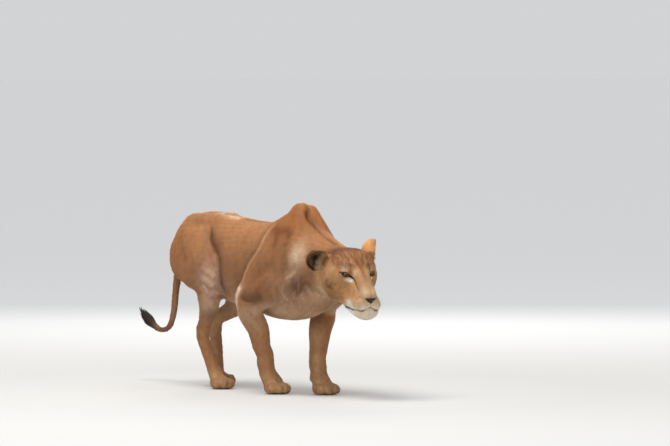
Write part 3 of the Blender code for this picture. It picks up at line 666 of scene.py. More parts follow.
def looks(points, outward):
    """All that the coat's colour, length and lie need to know of each place."""
    local, head, paw, leg, tail = regions(points)
    out = turned(UNHEAD, outward)
    lids, rise = lids_away(local)
    ears = {name: ear_places(local, out, name) for name in EARS}
    shares = {"head": head, "paw": paw, "leg": leg, "tail": tail, "nose": nose_leather(local) * head}
    places = {"points": points, "outward": outward, "local": local, "half": mirrored(local)}
    return {**shares, **places, "lids": lids, "rise": rise, "ears": ears}


def paint(colour, share, new):
    """Mixes a new colour into the old ones, in place, by share."""
    colour += (np.array(new) - colour) * np.clip(share, 0, 1)[:, None]


def paint_spots(colour, points, spots, share=1):
    """Paints a blob for each row of centre, radii, share and colour."""
    for centre, radii, strength, new in spots:
        paint(colour, blob(points, centre, radii) * strength * share, new)


def shade(red, green, blue):
    """A colour given from 0 to 255 as screens show it, in the renderer's linear terms."""
    values = np.array([red, green, blue]) / 255
    return np.where(values < 0.04045, values / 12.92, ((values + 0.055) / 1.055) ** 2.4)


TAWNY, SIDE, ORANGE = shade(192, 136, 88), shade(174, 124, 84), shade(182, 114, 60)
PALE, CREAM, WHITE = shade(214, 178, 138), shade(226, 200, 168), shade(238, 230, 218)
BROWN, UMBER, BLACK = shade(138, 88, 52), shade(84, 54, 36), shade(26, 20, 18)

# Paths and spots on the face, in the head's frame in millimetres. FACE_AXIS is the way that the eyes' lines
# are seen along.
FACE_AXIS = (0.74, 0.58, 0.34)
EYE_LINE = [(6, 64, 5), (0, 71, 5), (-6, 75, 5), (-15, 80, 4)]
BLACK_TEAR = [(3, 56, 2), (16, 46, -1), (29, 40, -3), (41, 35, -6), (51, 34, -10), (64, 34, -15),
              (77, 35, -23), (102, 36, -34)]
UNDER_EYE = [(-18, 62, -10), (0, 58, -13), (22, 49, -15), (42, 38, -13)]
BROW_MARK = [(3, 39, 44), (8, 39, 34), (14, 40, 22)]
FOREHEAD = [(96, 0, 0), (54, 0, 25), (25, 0, 39), (-8, 0, 58), (-30, 0, 68)]
CROWN_STREAK = [(20, 9, 42), (-4, 14, 55), (-34, 24, 64)]
CHEEK = [(-56, 108, -46), (-34, 100, -56), (-12, 86, -66)]
PAD_ROWS, PAD_BREAKS = 7.5, 13  # spacing of the rows of dark streaks on the whisker pad, and of their breaks

# Centre, radii, share, colour.
BROW_SPOTS = [
    ((34, 28, 12), (14, 9, 14), 0.9, CREAM),
    ((-6, 58, 24), (22, 14, 10), 0.65, CREAM),
]
FACE_SPOTS = [
    ((122, 16, -36), (26, 16, 18), 1, shade(232, 204, 172)),  # above the nose
    ((-40, 92, 0), (26, 20, 22), 0.75, shade(214, 168, 120)),  # before the ear
    ((20, 62, -50), (24, 20, 16), 0.3, shade(144, 100, 66)),
    ((62, 62, -78), (34, 20, 22), 0.75, shade(204, 142, 80)),  # muzzle's side
]


def head_colours(look, colour):
    """Paints the head, from the broad ground to the thin dark lines."""
    half, head = look["half"], look["head"]
    x, y, z = half.T
    fuzz = ripple(half, 26, 5)
    face = np.zeros_like(colour) + shade(196, 148, 96)
    paint(face, 0.35 + 0.3 * fuzz, shade(178, 126, 78))
    # The crown and forehead are redder, in short streaks that run back from the brow.
    crown = step(-25, 35, z + 0.25 * x) * step(60, 0, x)
    streaks = ripple(half * [0.25, 1.0, 0.5], 11, 7)
    paint(face, crown * (0.62 + 0.26 * streaks), shade(146, 84, 44))
    flecks = step(0.1, 1.2, ripple(half * [0.55, 1, 0.7], 5.5, 9) + 0.5 * ripple(half, 24, 6))
    paint(face, crown * flecks * 0.75, UMBER)
    paint(face, step(-25, -115, x) * step(-10, 25, z) * step(104, 82, y) * 0.9, shade(98, 56, 30))
    paint(face, line(half, FOREHEAD, 8.5) * 0.85, shade(138, 90, 54))
    paint(face, line(half, CROWN_STREAK, 5) * 0.6, UMBER)
    paint_spots(face, half, BROW_SPOTS)
    # The bridge is a paler, greyer tan, and the sides of the muzzle turn orange towards the lip.
    bridge = step(50, 90, x) * step(-45, -18, z + 0.4 * (x - 100) + 0.2 * y)
    paint(face, bridge * 0.6, shade(172, 134, 100))
    paint_spots(face, half, FACE_SPOTS)
    # Brown on the cheek, which is darkest below the eye's outer corner, and specks before it.
    paint(face, line(half, CHEEK, 27) * (0.72 + 0.25 * fuzz), shade(118, 72, 48))
    paint(face, blob(half, (-30, 84, -106), (42, 28, 22)) * 0.85, shade(130, 90, 54))
    specks = step(0.5, 1.3, ripple(half, 7, 31)) * blob(half, (38, 62, -52), (40, 26, 30))
    paint(face, specks * 0.8, shade(112, 72, 42))
    paint(face, blob(half, (14, 72, -94), (22, 16, 14)) * 0.5, shade(140, 106, 60))
    # White on the chin, along the lips and on the whisker pads, which carry rows of dark streaks.
    paint(face, step(-66, -92, z - 0.10 * (x - 120)) * step(28, 84, x) * 0.85, WHITE)
    paint(face, step(-108, -124, z + 0.22 * (120 - x) * (x < 120)) * step(10, 60, x), WHITE)
    paint(face, step(112, 140, x) * step(-52, -62, z) * 0.55, CREAM)
    pad = blob(half, (118, 46, -82), (30, 18, 16))
    rows = step(0.45, 1.0, np.cos((z + 0.25 * (x - 120)) * 2 * math.pi / PAD_ROWS))
    breaks = step(-0.4, 0.5, np.sin(x * 2 * math.pi / PAD_BREAKS + z))
    paint(face, step(0.2, 0.6, pad) * 0.7, shade(216, 172, 118))
    paint(face, step(0.2, 0.5, pad) * rows * breaks, shade(132, 76, 32))
    paint(face, blob(half, (30, 78, -104), (34, 22, 16)) * 0.55, shade(150, 108, 66))
    # Below the jaw and behind it the hair is long, pale and soft.
    paint(face, step(-128, -150, z + 0.30 * (x + 20)) * step(60, -10, x) * 0.5, CREAM)
    paint(face, blob(half, (-120, 108, -86), (40, 30, 30)) * 0.3, PALE)
    # The dark lines of the eyes and the brow, and the white below the lids.
    paint(face, line(half, UNDER_EYE, 7.5) * 1.3, WHITE)
    paint(face, line(half, BROW_MARK, 4.0) * 0.9, UMBER)
    tear = seen_line(half, BLACK_TEAR, 2.9, FACE_AXIS) * step(-5, 4, x)
    paint(face, tear * np.interp(x, [24, 36, 60, 100], [2.2, 1.0, 0.62, 0.42]), BLACK)
    paint(face, seen_line(half, EYE_LINE, 2.8, FACE_AXIS) * step(-30, -20, x) * 1.2, BLACK)
    rim = 2.2 + 1.6 * step(-1, 3, look["rise"])
    paint(face, step(1.0, -0.6, look["lids"] - rim), BLACK)
    # Lips: a thin dark line in front, and a broad one towards the corner.
    away, along = from_line(half, curve(MOUTH))
    lips = np.interp(along, [0, 0.2, 0.45, 0.6, 0.9, 1], [3.4, 4.9, 3.0, 4.5, 6.5, 5.0])
    paint(face, step(1.2, -0.8, away - lips), shade(40, 30, 32))
    paint(face, line(half, PHILTRUM, 1.6), shade(50, 36, 34))
    paint(face, look["nose"], shade(46, 38, 39))
    # The nostrils' openings and the cleft down the nose are painted near-black: painted shade in these
    # hollows.
    hollow = blob(half * [0, 1, 1], (0, 12, -60), (1, 4.4, 3.6))
    nostril = np.maximum(seen_line(half, NOSTRIL, 2.4, (1, 0, 0)), hollow)
    paint(face, nostril * look["nose"] * 1.3, shade(6, 5, 5))
    paint(face, line(half, PHILTRUM, 1.2) * look["nose"], shade(14, 11, 11))
    paint(face, blob(half, (-205, 0, 52), (40, 16, 22)) * 0.9, UMBER)  # nape
    paint(colour, head, face)


def ear_colours(look, colour):
    """Paints the ears' backs, and the rims and hollows inside them."""
    for name, (own, on, inside) in look["ears"].items():
        _, y, z = own.T
        near = 1 if name == "ear_right" else -1
        spread = np.hypot(y / EAR_WIDTH, (z - EAR_MIDDLE) / EAR_REACH)
        back = np.zeros_like(colour) + shade(224, 164, 102)
        paint(back, step(72, 90, z) * 0.85, shade(60, 42, 32))
        paint(back, step(0.80, 0.97, spread) * step(20, 40, z) * (0.5 + 0.15 * near), shade(96, 62, 40))
        # Inside, brown arcs follow the rim round the deep hollow, which is painted near-black as painted
        # shade, and a dark line runs inside its pale edge.
        arcs = step(0.0, 0.9, np.sin(spread * 2 * math.pi / 0.19 + 0.9 * ripple(own, 26, 4)))
        inner = np.zeros_like(colour) + shade(126, 82, 48)
        paint(inner, arcs * 0.65, shade(184, 134, 86))
        paint(inner, 0.2 + 0.3 * ripple(own, 9, 3), shade(92, 58, 36))
        paint(inner, blob(own, (-26, -8, 40), (40, 17, 24)) * 1.8, shade(20, 16, 16))
        paint(inner, blob(own, (-20, -26, 34), (40, 14, 14)) * 1.5, shade(20, 16, 16))
        ring = step(0.78, 0.84, spread) * step(0.96, 0.91, spread)
        ring *= (0.45 + 0.5 * step(0.3, 0.7, np.abs(y) / EAR_WIDTH)) * (0.65 + 0.35 * near)
        paint(inner, ring, shade(54, 36, 26))
        paint(inner, step(0.94, 0.99, spread) * 0.9, shade(218, 178, 130))
        paint(inner, step(42, 18, z) * 0.9, shade(204, 166, 122))
        paint(inner, step(38, 16, z) * step(-14, 2, y * near) * 0.85, shade(170, 108, 62))
        paint(colour, on * step(2, 12, z), np.where(inside[:, None], inner, back))


# Paths on the body, in metres: the fringe is seen from the side, and the others lie along the back.
ELBOW_FRINGE = [(0.150, 0.462), (0.128, 0.436), (0.118, 0.400), (0.122, 0.355)]
BACK_LINE = [(-0.140, -0.015, 0.741), (0.018, -0.005, 0.732), (0.150, 0, 0.745), (0.280, 0, 0.785)]
# The next two paths are a painted highlight where light falls on the croup over the hip, and painted shade
# in a skin wrinkle across it.
CROUP_HIGHLIGHT = [(-0.310, -0.010, 0.760), (-0.210, -0.018, 0.750), (-0.120, -0.018, 0.741)]
CROUP_WRINKLE_SHADE = [(-0.258, -0.014, 0.756), (-0.234, -0.008, 0.754), (-0.208, -0.003, 0.752)]

# The second colour is painted shade, for the furrow between the shoulder blades.
RUSSET, FURROW_SHADE = shade(118, 64, 30), shade(70, 42, 28)

# Marks seen from the side: side or 0 for both, path, width, share, colour.
STROKES = [
    (RIGHT, SHOULDER_CREST, 0.011, 0.65, shade(226, 182, 136)),
    (RIGHT, [(0.225, 0.712), (0.300, 0.702), (0.370, 0.700), (0.402, 0.668)], 0.022, 0.70, RUSSET),
    (RIGHT, [(0.280, 0.700), (0.300, 0.660), (0.296, 0.630)], 0.022, 0.6, RUSSET),
    (LEFT, [(0.150, 0.712), (0.240, 0.705), (0.320, 0.700)], 0.022, 0.45, RUSSET),
    (0, [(0.438, 0.506), (0.458, 0.524), (0.474, 0.548)], 0.007, 0.6, shade(232, 200, 164)),
    (RIGHT, ELBOW_FRINGE, 0.019, 1.0, shade(250, 220, 192)),
    (LEFT, [(0.190, 0.440), (0.168, 0.410), (0.158, 0.375), (0.162, 0.335)], 0.017, 0.9, CREAM),
]
# Marks on both sides, which are weaker on the left, among them painted shade and painted light where noted:
# centre, radii, share, colour.
SPOTS = [
    ((0.468, 0.135, 0.602), (0.030, 0.06, 0.058), 0.95, shade(236, 206, 172)),  # before the shoulder
    ((0.56, 0.14, 0.50), (0.06, 0.08, 0.07), 0.4, BROWN),
    # painted shade in the hollow of the neck
    ((0.478, 0.14, 0.482), (0.032, 0.07, 0.044), 0.85, shade(92, 58, 36)),  # hollow of the neck
    ((0.30, 0.17, 0.51), (0.15, 0.10, 0.11), 0.40, shade(116, 68, 38)),
    ((0.150, 0.19, 0.50), (0.04, 0.06, 0.05), 0.25, BROWN),
    ((0.055, 0.16, 0.50), (0.045, 0.06, 0.10), 0.35, BROWN),
    ((-0.150, 0.17, 0.450), (0.052, 0.09, 0.085), 1.3, shade(232, 194, 166)),  # loose skin of the thigh
    # painted shadow on the front of the shank
    ((-0.145, 0.10, 0.400), (0.026, 0.05, 0.055), 0.6, shade(112, 80, 62)),
    ((-0.215, 0.12, 0.320), (0.060, 0.08, 0.045), 0.6, shade(110, 76, 52)),
    ((-0.135, 0.13, 0.625), (0.035, 0.06, 0.030), 0.35, shade(104, 66, 50)),  # flank before the thigh
    # the forearm's paler coat, with painted light on its top below the shaded hollow
    ((0.205, 0.21, 0.352), (0.045, 0.06, 0.034), 0.6, shade(214, 172, 140)),
    ((0.487, 0.05, 0.415), (0.050, 0.06, 0.040), 0.5, shade(206, 168, 134)),  # throat
]


# Path, width, share, colour: painted shade in and beside the near side's deep folds, and in the hollow above
# the foreleg. Then along the back: painted shade in the furrow between the shoulder blades, the dark back
# line, a painted highlight on the croup, and painted shade in a wrinkle across it.
PAINTED_FOLD_SHADE = (
    # painted shade: a nearly black line in the thigh's crease
    (THIGH_FOLD, 0.009, 0.6, shade(50, 31, 21)),
    # painted shade on the flank beside the crease
    (shifted(THIGH_FOLD, 0.026, 0), 0.022, 0.35, shade(96, 60, 46)),
    # painted shade in the hollow above the foreleg
    (shifted(ARM_FOLD, 0.006, 0.024), 0.026, 0.55, shade(92, 56, 34)),
)
BACK_SHADE_HIGHLIGHT_AND_LINE = (
    # painted shade in the furrow between the shoulder blades
    (MIDLINE, 0.010, 1.15, FURROW_SHADE),
    (BACK_LINE, 0.010, 0.7, shade(78, 50, 34)),
    # painted highlight where light falls on the croup
    (CROUP_HIGHLIGHT, 0.020, 0.8, shade(236, 204, 166)),
    # painted shade in a wrinkle across the croup's highlight
    (CROUP_WRINKLE_SHADE, 0.008, 0.7, shade(70, 42, 26)),
)


def paint_fold_shade_and_back_light(points, colour):
    """Painted shade darkens the folds, and the deep ones hold a nearly black line of it. The back's painted
    shade, painted highlight and dark line come after them.
    """
    # Painted shade in every fold, darker in the deeper ones.
    for side, path, width, depth in BODY_GROOVES:
        paint(colour, side_line(points, path, width * 1.1, side) * min(0.55, depth * 60), UMBER)
    for path, width, share, new in PAINTED_FOLD_SHADE:
        paint(colour, side_line(points, path, width, RIGHT) * share, new)
    for path, width, share, new in BACK_SHADE_HIGHLIGHT_AND_LINE:
        paint(colour, line(points, path, width) * share, new)


def colours(look):
    """The colour of the coat at each place, as its roots' middle length shows it, with painted shade in
    folds and hollows and painted light in places.
    """
    points, outward, tail = look["points"], look["outward"], look["tail"]
    x, y, z = points.T
    half = mirrored(points)
    up = outward[:, 2]
    colour = np.zeros((len(points), 3)) + SIDE
    # Lighter and more tawny where the coat faces up: partly the back's own tone, partly painted light from
    # above.
    paint(colour, step(-0.1, 0.75, up) * step(0.5, 0.65, z) * 0.85, TAWNY)
    paint(colour, side_blob(points, (0.36, 0.76), (0.15, 0.09)) * 0.8, ORANGE)
    paint(colour, side_blob(points, (-0.50, 0.62), (0.12, 0.14)) * 0.6, shade(196, 126, 70))
    paint(colour, side_line(points, [(0.5, 0.72), (0.62, 0.64)], 0.05) * 0.5, ORANGE)
    # Pale below: breast, belly, insides of the legs, backs of the thighs.
    low = step(0.43, 0.345, z) * step(0.35, -0.5, up) * step(0.25, 0.32, z)
    paint(colour, low * 0.85, CREAM)
    inner = step(0.0, -0.7, outward[:, 1] * np.sign(y)) * step(0.55, 0.45, z)
    paint(colour, inner * 0.7, PALE)
    paint(colour, side_blob(points, (0.50, 0.40), (0.12, 0.14)) * 0.75, shade(184, 148, 116))
    paint(colour, look["leg"] * 0.6, shade(192, 140, 92))
    paint(colour, look["paw"] * 0.6, shade(206, 164, 118))
    # Painted shade in the gaps between the toes.
    paint(colour, toe_gaps(points, 0.0055) * 0.85, shade(84, 56, 40))
    paint(colour, step(0.0045, 0.002, z), shade(52, 40, 38))
    right = 0.4 + 0.6 * step(0.03, -0.03, y)
    paint_spots(colour, half, SPOTS, right)
    for side, path, width, share, new in STROKES:
        paint(colour, side_line(points, path, width, side) * share, new)
    paint_fold_shade_and_back_light(points, colour)
    # Bands of painted shade between the wrinkles of the thigh's loose skin, and pale locks on the throat.
    bands = step(-0.1, 0.8, np.sin((z + 0.5 * x) * 2 * math.pi / 0.052 + 1.1 * ripple(points, 0.07, 14)))
    loose = blob(half, (-0.150, 0.17, 0.470), (0.050, 0.09, 0.075))
    paint(colour, bands * loose * right * 0.65, shade(156, 108, 76))
    throat = step(-0.2, 0.9, ripple(points * [1, 1, 0.22], 0.024, 15))
    throat *= blob(half, (0.45, 0.09, 0.42), (0.10, 0.12, 0.07))
    paint(colour, throat * 0.75, shade(216, 186, 158))
    # Slight unevenness everywhere.
    paint(colour, 0.14 + 0.16 * ripple(points, 0.16, 11), shade(146, 94, 60))
    paint(colour, 0.12 * ripple(points, 0.035, 12) + 0.05, shade(116, 76, 48))
    # The tail darkens to a black tuft.
    paint(colour, tail * 0.7, shade(152, 104, 70))
    paint(colour, tail * step(-0.60, -0.68, x) * 0.6, shade(112, 78, 56))
    paint(colour, step(-0.735, -0.785, x), shade(40, 29, 25))
    head_colours(look, colour)
    ear_colours(look, colour)
    return np.clip(colour, 0.003, 0.95)


# Directions that the hair lies in: place, then direction. The left side mirrors the right.
BODY_FLOW = [
    ((-0.45, 0, 0.76), (-1, 0, -0.1)), ((-0.2, 0, 0.74), (-1, 0, 0)), ((0.1, 0, 0.74), (-1, 0, -0.05)),
    ((0.33, 0.03, 0.79), (-1, 0, 0.05)), ((0.35, 0.1, 0.7), (-0.7, 0.1, -0.7)),
    ((0.3, 0.17, 0.55), (-0.5, 0.1, -0.85)), ((0.15, 0.19, 0.42), (-0.6, 0.1, -0.8)),
    ((0.42, 0.15, 0.5), (-0.35, 0.2, -0.9)), ((-0.05, 0.15, 0.6), (-0.9, 0.1, -0.4)),
    ((-0.05, 0.12, 0.42), (-0.95, 0, -0.3)), ((-0.1, 0, 0.35), (-1, 0, 0)), ((0.2, 0, 0.33), (-1, 0, 0)),
    ((0.5, 0, 0.5), (-0.2, 0.3, -0.95)), ((0.45, 0.1, 0.38), (-0.6, 0.2, -0.75)),
    ((0.52, 0.13, 0.6), (-0.75, 0.1, -0.6)), ((0.5, 0, 0.72), (-1, 0, 0.2)),
    ((0.58, 0, 0.42), (-0.7, 0.1, -0.6)), ((-0.5, 0.1, 0.68), (-0.6, 0.2, -0.8)),
    ((-0.4, 0.17, 0.5), (-0.45, 0.1, -0.9)), ((-0.15, 0.16, 0.5), (-0.6, 0.1, -0.8)),
    ((-0.4, 0.1, 0.33), (-0.25, 0, -1)), ((-0.55, 0.06, 0.55), (-0.1, 0.2, -1)),
    ((0.2, 0.1, 0.25), (-0.15, 0, -1)), ((0.3, 0.1, 0.25), (-0.15, 0, -1)),
    ((-0.3, 0.09, 0.16), (0.1, 0, -1)), ((-0.48, 0.09, 0.16), (0.1, 0, -1)),
    ((0.18, 0.07, 0.05), (0.8, 0, -0.5)), ((0.35, 0.07, 0.05), (0.8, 0, -0.5)),
    ((-0.24, 0.08, 0.05), (0.8, 0, -0.5)), ((-0.45, 0.08, 0.05), (0.8, 0, -0.5)),
]
HEAD_FLOW = [
    ((110, 0, -20), (-1, 0.1, 0.45)), ((140, 0, -42), (-1, 0.1, 0.5)),
    ((130, 25, -60), (-0.8, 0.6, -0.2)), ((110, 45, -80), (-0.85, 0.6, -0.4)),
    ((130, 40, -96), (-0.8, 0.5, -0.6)), ((148, 6, -80), (-0.3, 0.7, -0.6)),
    ((130, 0, -135), (-0.8, 0.05, -0.6)), ((145, 0, -110), (-0.3, 0.08, -0.95)),
    ((60, 60, -130), (-0.95, 0.1, -0.35)), ((0, 90, -70), (-0.9, 0.3, -0.4)),
    ((20, 55, -30), (-0.8, 0.6, -0.4)), ((10, 40, 35), (-0.7, 0.4, 0.7)),
    ((50, 20, 20), (-0.8, 0.25, 0.7)), ((0, 0, 50), (-0.85, 0.1, 0.5)), ((-80, 0, 80), (-1, 0, 0.1)),
    ((-60, 85, 20), (-1, 0.3, 0.1)), ((-150, 90, 0), (-1, 0.1, -0.3)), ((-60, 0, -140), (-1, 0, -0.3)),
    ((-100, 110, -80), (-0.7, 0.3, -0.8)),
]
TAIL_PATH = [
    (-0.515, 0, 0.690), (-0.560, -0.006, 0.665), (-0.596, -0.020, 0.590), (-0.608, -0.032, 0.500),
    (-0.615, -0.042, 0.400), (-0.622, -0.048, 0.310), (-0.652, -0.050, 0.252), (-0.710, -0.050, 0.232),
    (-0.765, -0.050, 0.246), (-0.810, -0.050, 0.268), (-0.885, -0.050, 0.318),
]


def blended(points, flow, reach):
    """The direction at each point of the left side, from the directions near it."""
    total = np.zeros_like(points)
    for spot, way in flow:
        far = ((points - spot) ** 2).sum(axis=1) / reach**2
        total += unit(np.array(way, float)) / (far[:, None] + 0.02) ** 1.6
    return unit(total)


def along_tail(points):
    """The direction of the tail beside each point, towards its tip."""
    path = curve(TAIL_PATH)
    _, along = from_line(points, path)
    runs = np.linalg.norm(np.diff(path, axis=0), axis=1)
    at = np.concatenate([[0], np.cumsum(runs)]) / runs.sum()
    before, after = ([np.interp(along + way, at, row) for row in path.T] for way in (-0.02, 0.02))
    return unit(np.stack(after, 1) - np.stack(before, 1))


def lie(look):
    """The direction of the hair at each place, along the skin."""
    points, local = look["points"], look["local"]
    way = blended(mirrored(points), BODY_FLOW, 0.12)
    way[:, 1] *= np.sign(points[:, 1]) * np.clip(np.abs(points[:, 1]) / 0.02, 0, 1)
    facial = blended(look["half"], HEAD_FLOW, 32)
    parting = 4 + 46 * step(-92, -100, local[:, 2])
    facial[:, 1] *= np.sign(local[:, 1]) * np.clip(np.abs(local[:, 1]) / parting, 0, 1)
    facial = turned(HEAD, facial)
    way = unit(way + (facial - way) * look["head"][:, None])
    way = unit(way + (along_tail(points) - way) * look["tail"][:, None])
    for name, (own, on, inside) in look["ears"].items():
        # On the back the hair runs to the tip, and inside it runs round the rim from the root to the tip.
        _, y, z = own.T
        high = z - EAR_MIDDLE
        spread = np.hypot(y / EAR_WIDTH, high / EAR_REACH)
        tip = unit(own * [0, 0.5, 1] + [0, 0, 40])
        side = np.where(y < 0, -1, 1)
        along = unit(np.stack([0 * y, -high * side, np.abs(y)], 1))
        tip = unit(tip + (along - tip) * (step(0.45, 0.8, spread) * (0.4 + 0.6 * inside))[:, None])
        way = unit(way + (turned(HEAD @ ear_frame(name), tip) - way) * on[:, None])
    flat = way - look["outward"] * (way * look["outward"]).sum(axis=1, keepdims=True)
    return unit(flat)


# Lengths of the hair in metres, and where on the trunk it is longer: centre, radii, how much.
HAIR_TRUNK, HAIR_LEG, HAIR_PAW, HAIR_TAIL, HAIR_TUFT = 0.0135, 0.0110, 0.0065, 0.0095, 0.017
LONGER = [
    ((0.50, 0.0, 0.42), (0.10, 0.16, 0.12), 0.012),  # breast and throat
    ((0.02, 0.0, 0.36), (0.30, 0.16, 0.05), 0.007),  # belly
    ((0.53, 0.13, 0.52), (0.07, 0.08, 0.10), 0.007),  # neck
    ((0.115, 0.20, 0.41), (0.03, 0.06, 0.055), 0.009),  # elbow
    ((-0.46, 0.12, 0.42), (0.08, 0.10, 0.12), 0.003),  # buttock
]
SHORTEST_COUNTED = 0.0042  # shorter hair stands no closer than hair of this length


def facial_hair(look):
    """The length of the hair on the head in millimetres: short on the muzzle and round the lids."""
    half = look["half"]
    x, _, z = half.T
    short = 6.5 + 5.0 * step(30, -70, x) + 4.5 * step(-95, -130, z) * step(150, 60, x)
    short += 5.0 * blob(half, (-95, 106, -80), (40, 30, 36)) - 1.5 * step(70, 110, x) * step(-100, -80, z)
    short = np.where(look["lids"] < 14, np.minimum(short, 3.2 + 0.25 * look["lids"]), short)
    jaw, ear_root = blob(half, (-48, 94, -124), (42, 34, 30)), blob(half, (-78, 84, 12), (22, 26, 26))
    return short + (12.0 * jaw + 6.0 * ear_root)


def hair(look):
    """The tufts at each place: their length and how far the tips stand off, in metres, and their number to a
    square metre."""
    points, half, head = look["points"], look["half"], look["head"]
    x, _, z = points.T
    length = np.full(len(points), HAIR_TRUNK)
    for centre, radii, more in LONGER:
        length += more * blob(mirrored(points), centre, radii)
    for region, own in (("leg", HAIR_LEG), ("paw", HAIR_PAW), ("tail", HAIR_TAIL)):
        length += (own - length) * look[region]
    length += HAIR_TUFT * step(-0.75, -0.79, x)
    short = facial_hair(look)
    fringe = np.zeros(len(points))
    for own, on, inside in look["ears"].values():
        spread = np.hypot(own[:, 1] / EAR_WIDTH, own[:, 2] / EAR_LENGTH * 1.85 - 0.85)
        front = on * inside * step(0.84, 0.70, spread) * step(48, 22, own[:, 2]) * step(14, 24, own[:, 2])
        close = np.where(inside, 5.0, 4.4) - 1.0 * step(0.80, 0.92, spread)
        short = short + on * (close - short) + 14 * front
        fringe += front
    length += (short * 0.001 - length) * head
    stand = coat_depth(points) * 0.72 + 0.0007 + 0.007 * fringe
    full = np.maximum(length, SHORTEST_COUNTED)
    count = (2.0 + 0.8 * head) / (full * width_of(full))
    bare = np.maximum.reduce([look["nose"], step(2.6, 1.6, look["lids"]), step(0.006, 0.003, z)])
    away, _ = from_line(half, curve(MOUTH))
    bare = np.maximum(bare, step(3.6, 2.2, away) * head)
    return length, stand, count * (1 - bare)


def width_of(length):
    """A tuft's width from its length, in metres."""
    return 0.00055 + length * 0.058


# ---------------- the coat's meshes


def unwrapped(mesh, chosen):
    """The corners of the chosen triangles on an unwrap of the skin's own shape."""
    used, faces = np.unique(triangles(mesh)[chosen], return_inverse=True)
    flat = bpy.data.meshes.new("flat")
    flat.from_pydata(coordinates(mesh)[used].tolist(), [], faces.reshape(-1, 3).tolist())
    obj = object_of("flat", flat)
    bpy.context.view_layer.objects.active = obj
    obj.select_set(True)
    bpy.ops.object.mode_set(mode="EDIT")
    bpy.ops.mesh.select_all(action="SELECT")
    bpy.ops.uv.smart_project(angle_limit=math.radians(70), island_margin=0.004)
    bpy.ops.object.mode_set(mode="OBJECT")
    uv = read(flat.uv_layers.active.data, "uv", 2)
    bpy.data.objects.remove(obj)
    bpy.data.meshes.remove(flat)
    return uv.reshape(-1, 3, 2).astype(float)


def scattered(mesh, chosen, density, rng):
    """Even random places on the chosen triangles: each one's triangle and its share of the corners."""
    points = coordinates(mesh)[triangles(mesh)[chosen]]
    area = np.linalg.norm(np.cross(points[:, 1] - points[:, 0], points[:, 2] - points[:, 0]), axis=1) / 2
    total = np.cumsum(area * density)
    count = int(total[-1])
    at = np.searchsorted(total, (np.arange(count) + rng.random(count)) * total[-1] / count)
    at = np.minimum(at, len(points) - 1)
    u, v = rng.random((2, count))
    over = u + v > 1
    u, v = np.where(over, 1 - u, u), np.where(over, 1 - v, v)
    return at, np.stack([1 - u - v, u, v], 1)


# A tuft is a kite: its root, two sides, a raised middle and its tip. For each of them: how far along the
# length, across the width and up the stand, the rise as a share of the width, the brightness, and the place
# in the tuft's patch of UVs.
KITE = [
    (0, 0, 0, 0, 0.80, (0, -1)),
    (0.36, 0.5, 0.38, 0, 0.97, (-1, 0)),
    (0.36, -0.5, 0.38, 0, 0.97, (1, 0)),
    (0.40, 0, 0.55, 0.22, 1.0, (0, 0.15)),
    (1, 0, 0.95, 0, 1.06, (0, 1)),
]
KITE_FACES = np.array([[0, 3, 1], [0, 2, 3], [1, 3, 4], [3, 2, 4]])
ROOT_DEPTH = 0.0006  # how deep the roots are sunk in the skin
PATCH = 0.0015  # half the size of a tuft's patch of UVs


def kite_mesh(name, verts):
    """A mesh of kites, from the places of their corners."""
    faces = (np.arange(len(verts))[:, None, None] * len(KITE) + KITE_FACES).reshape(-1, 3)
    made = bpy.data.meshes.new(name)
    made.vertices.add(len(verts) * len(KITE))
    made.vertices.foreach_set("co", verts.astype(np.float32).ravel())
    made.loops.add(faces.size)
    made.loops.foreach_set("vertex_index", faces.astype(np.int32).ravel())
    made.polygons.add(len(faces))
    made.polygons.foreach_set("loop_start", np.arange(0, faces.size, 3, dtype=np.int32))
    made.update()
    return made


def tuft_colours(look, rng):
    """The colours of each tuft's corners: its place's own, a little varied, and darkest at the root."""
    colour = colours(look)
    count = len(colour)
    bright = 1 + 0.075 * rng.normal(size=(count, 1)) + 0.05 * ripple(look["points"], 0.012, 24)[:, None]
    grey = colour.mean(axis=1, keepdims=True)
    colour = grey + (colour - grey) * rng.uniform(0.88, 1.1, (count, 1))
    shades = np.stack([colour * bright * row[4] for row in KITE], 1)
    return np.clip(shades.reshape(-1, 3), 0.002, 1)


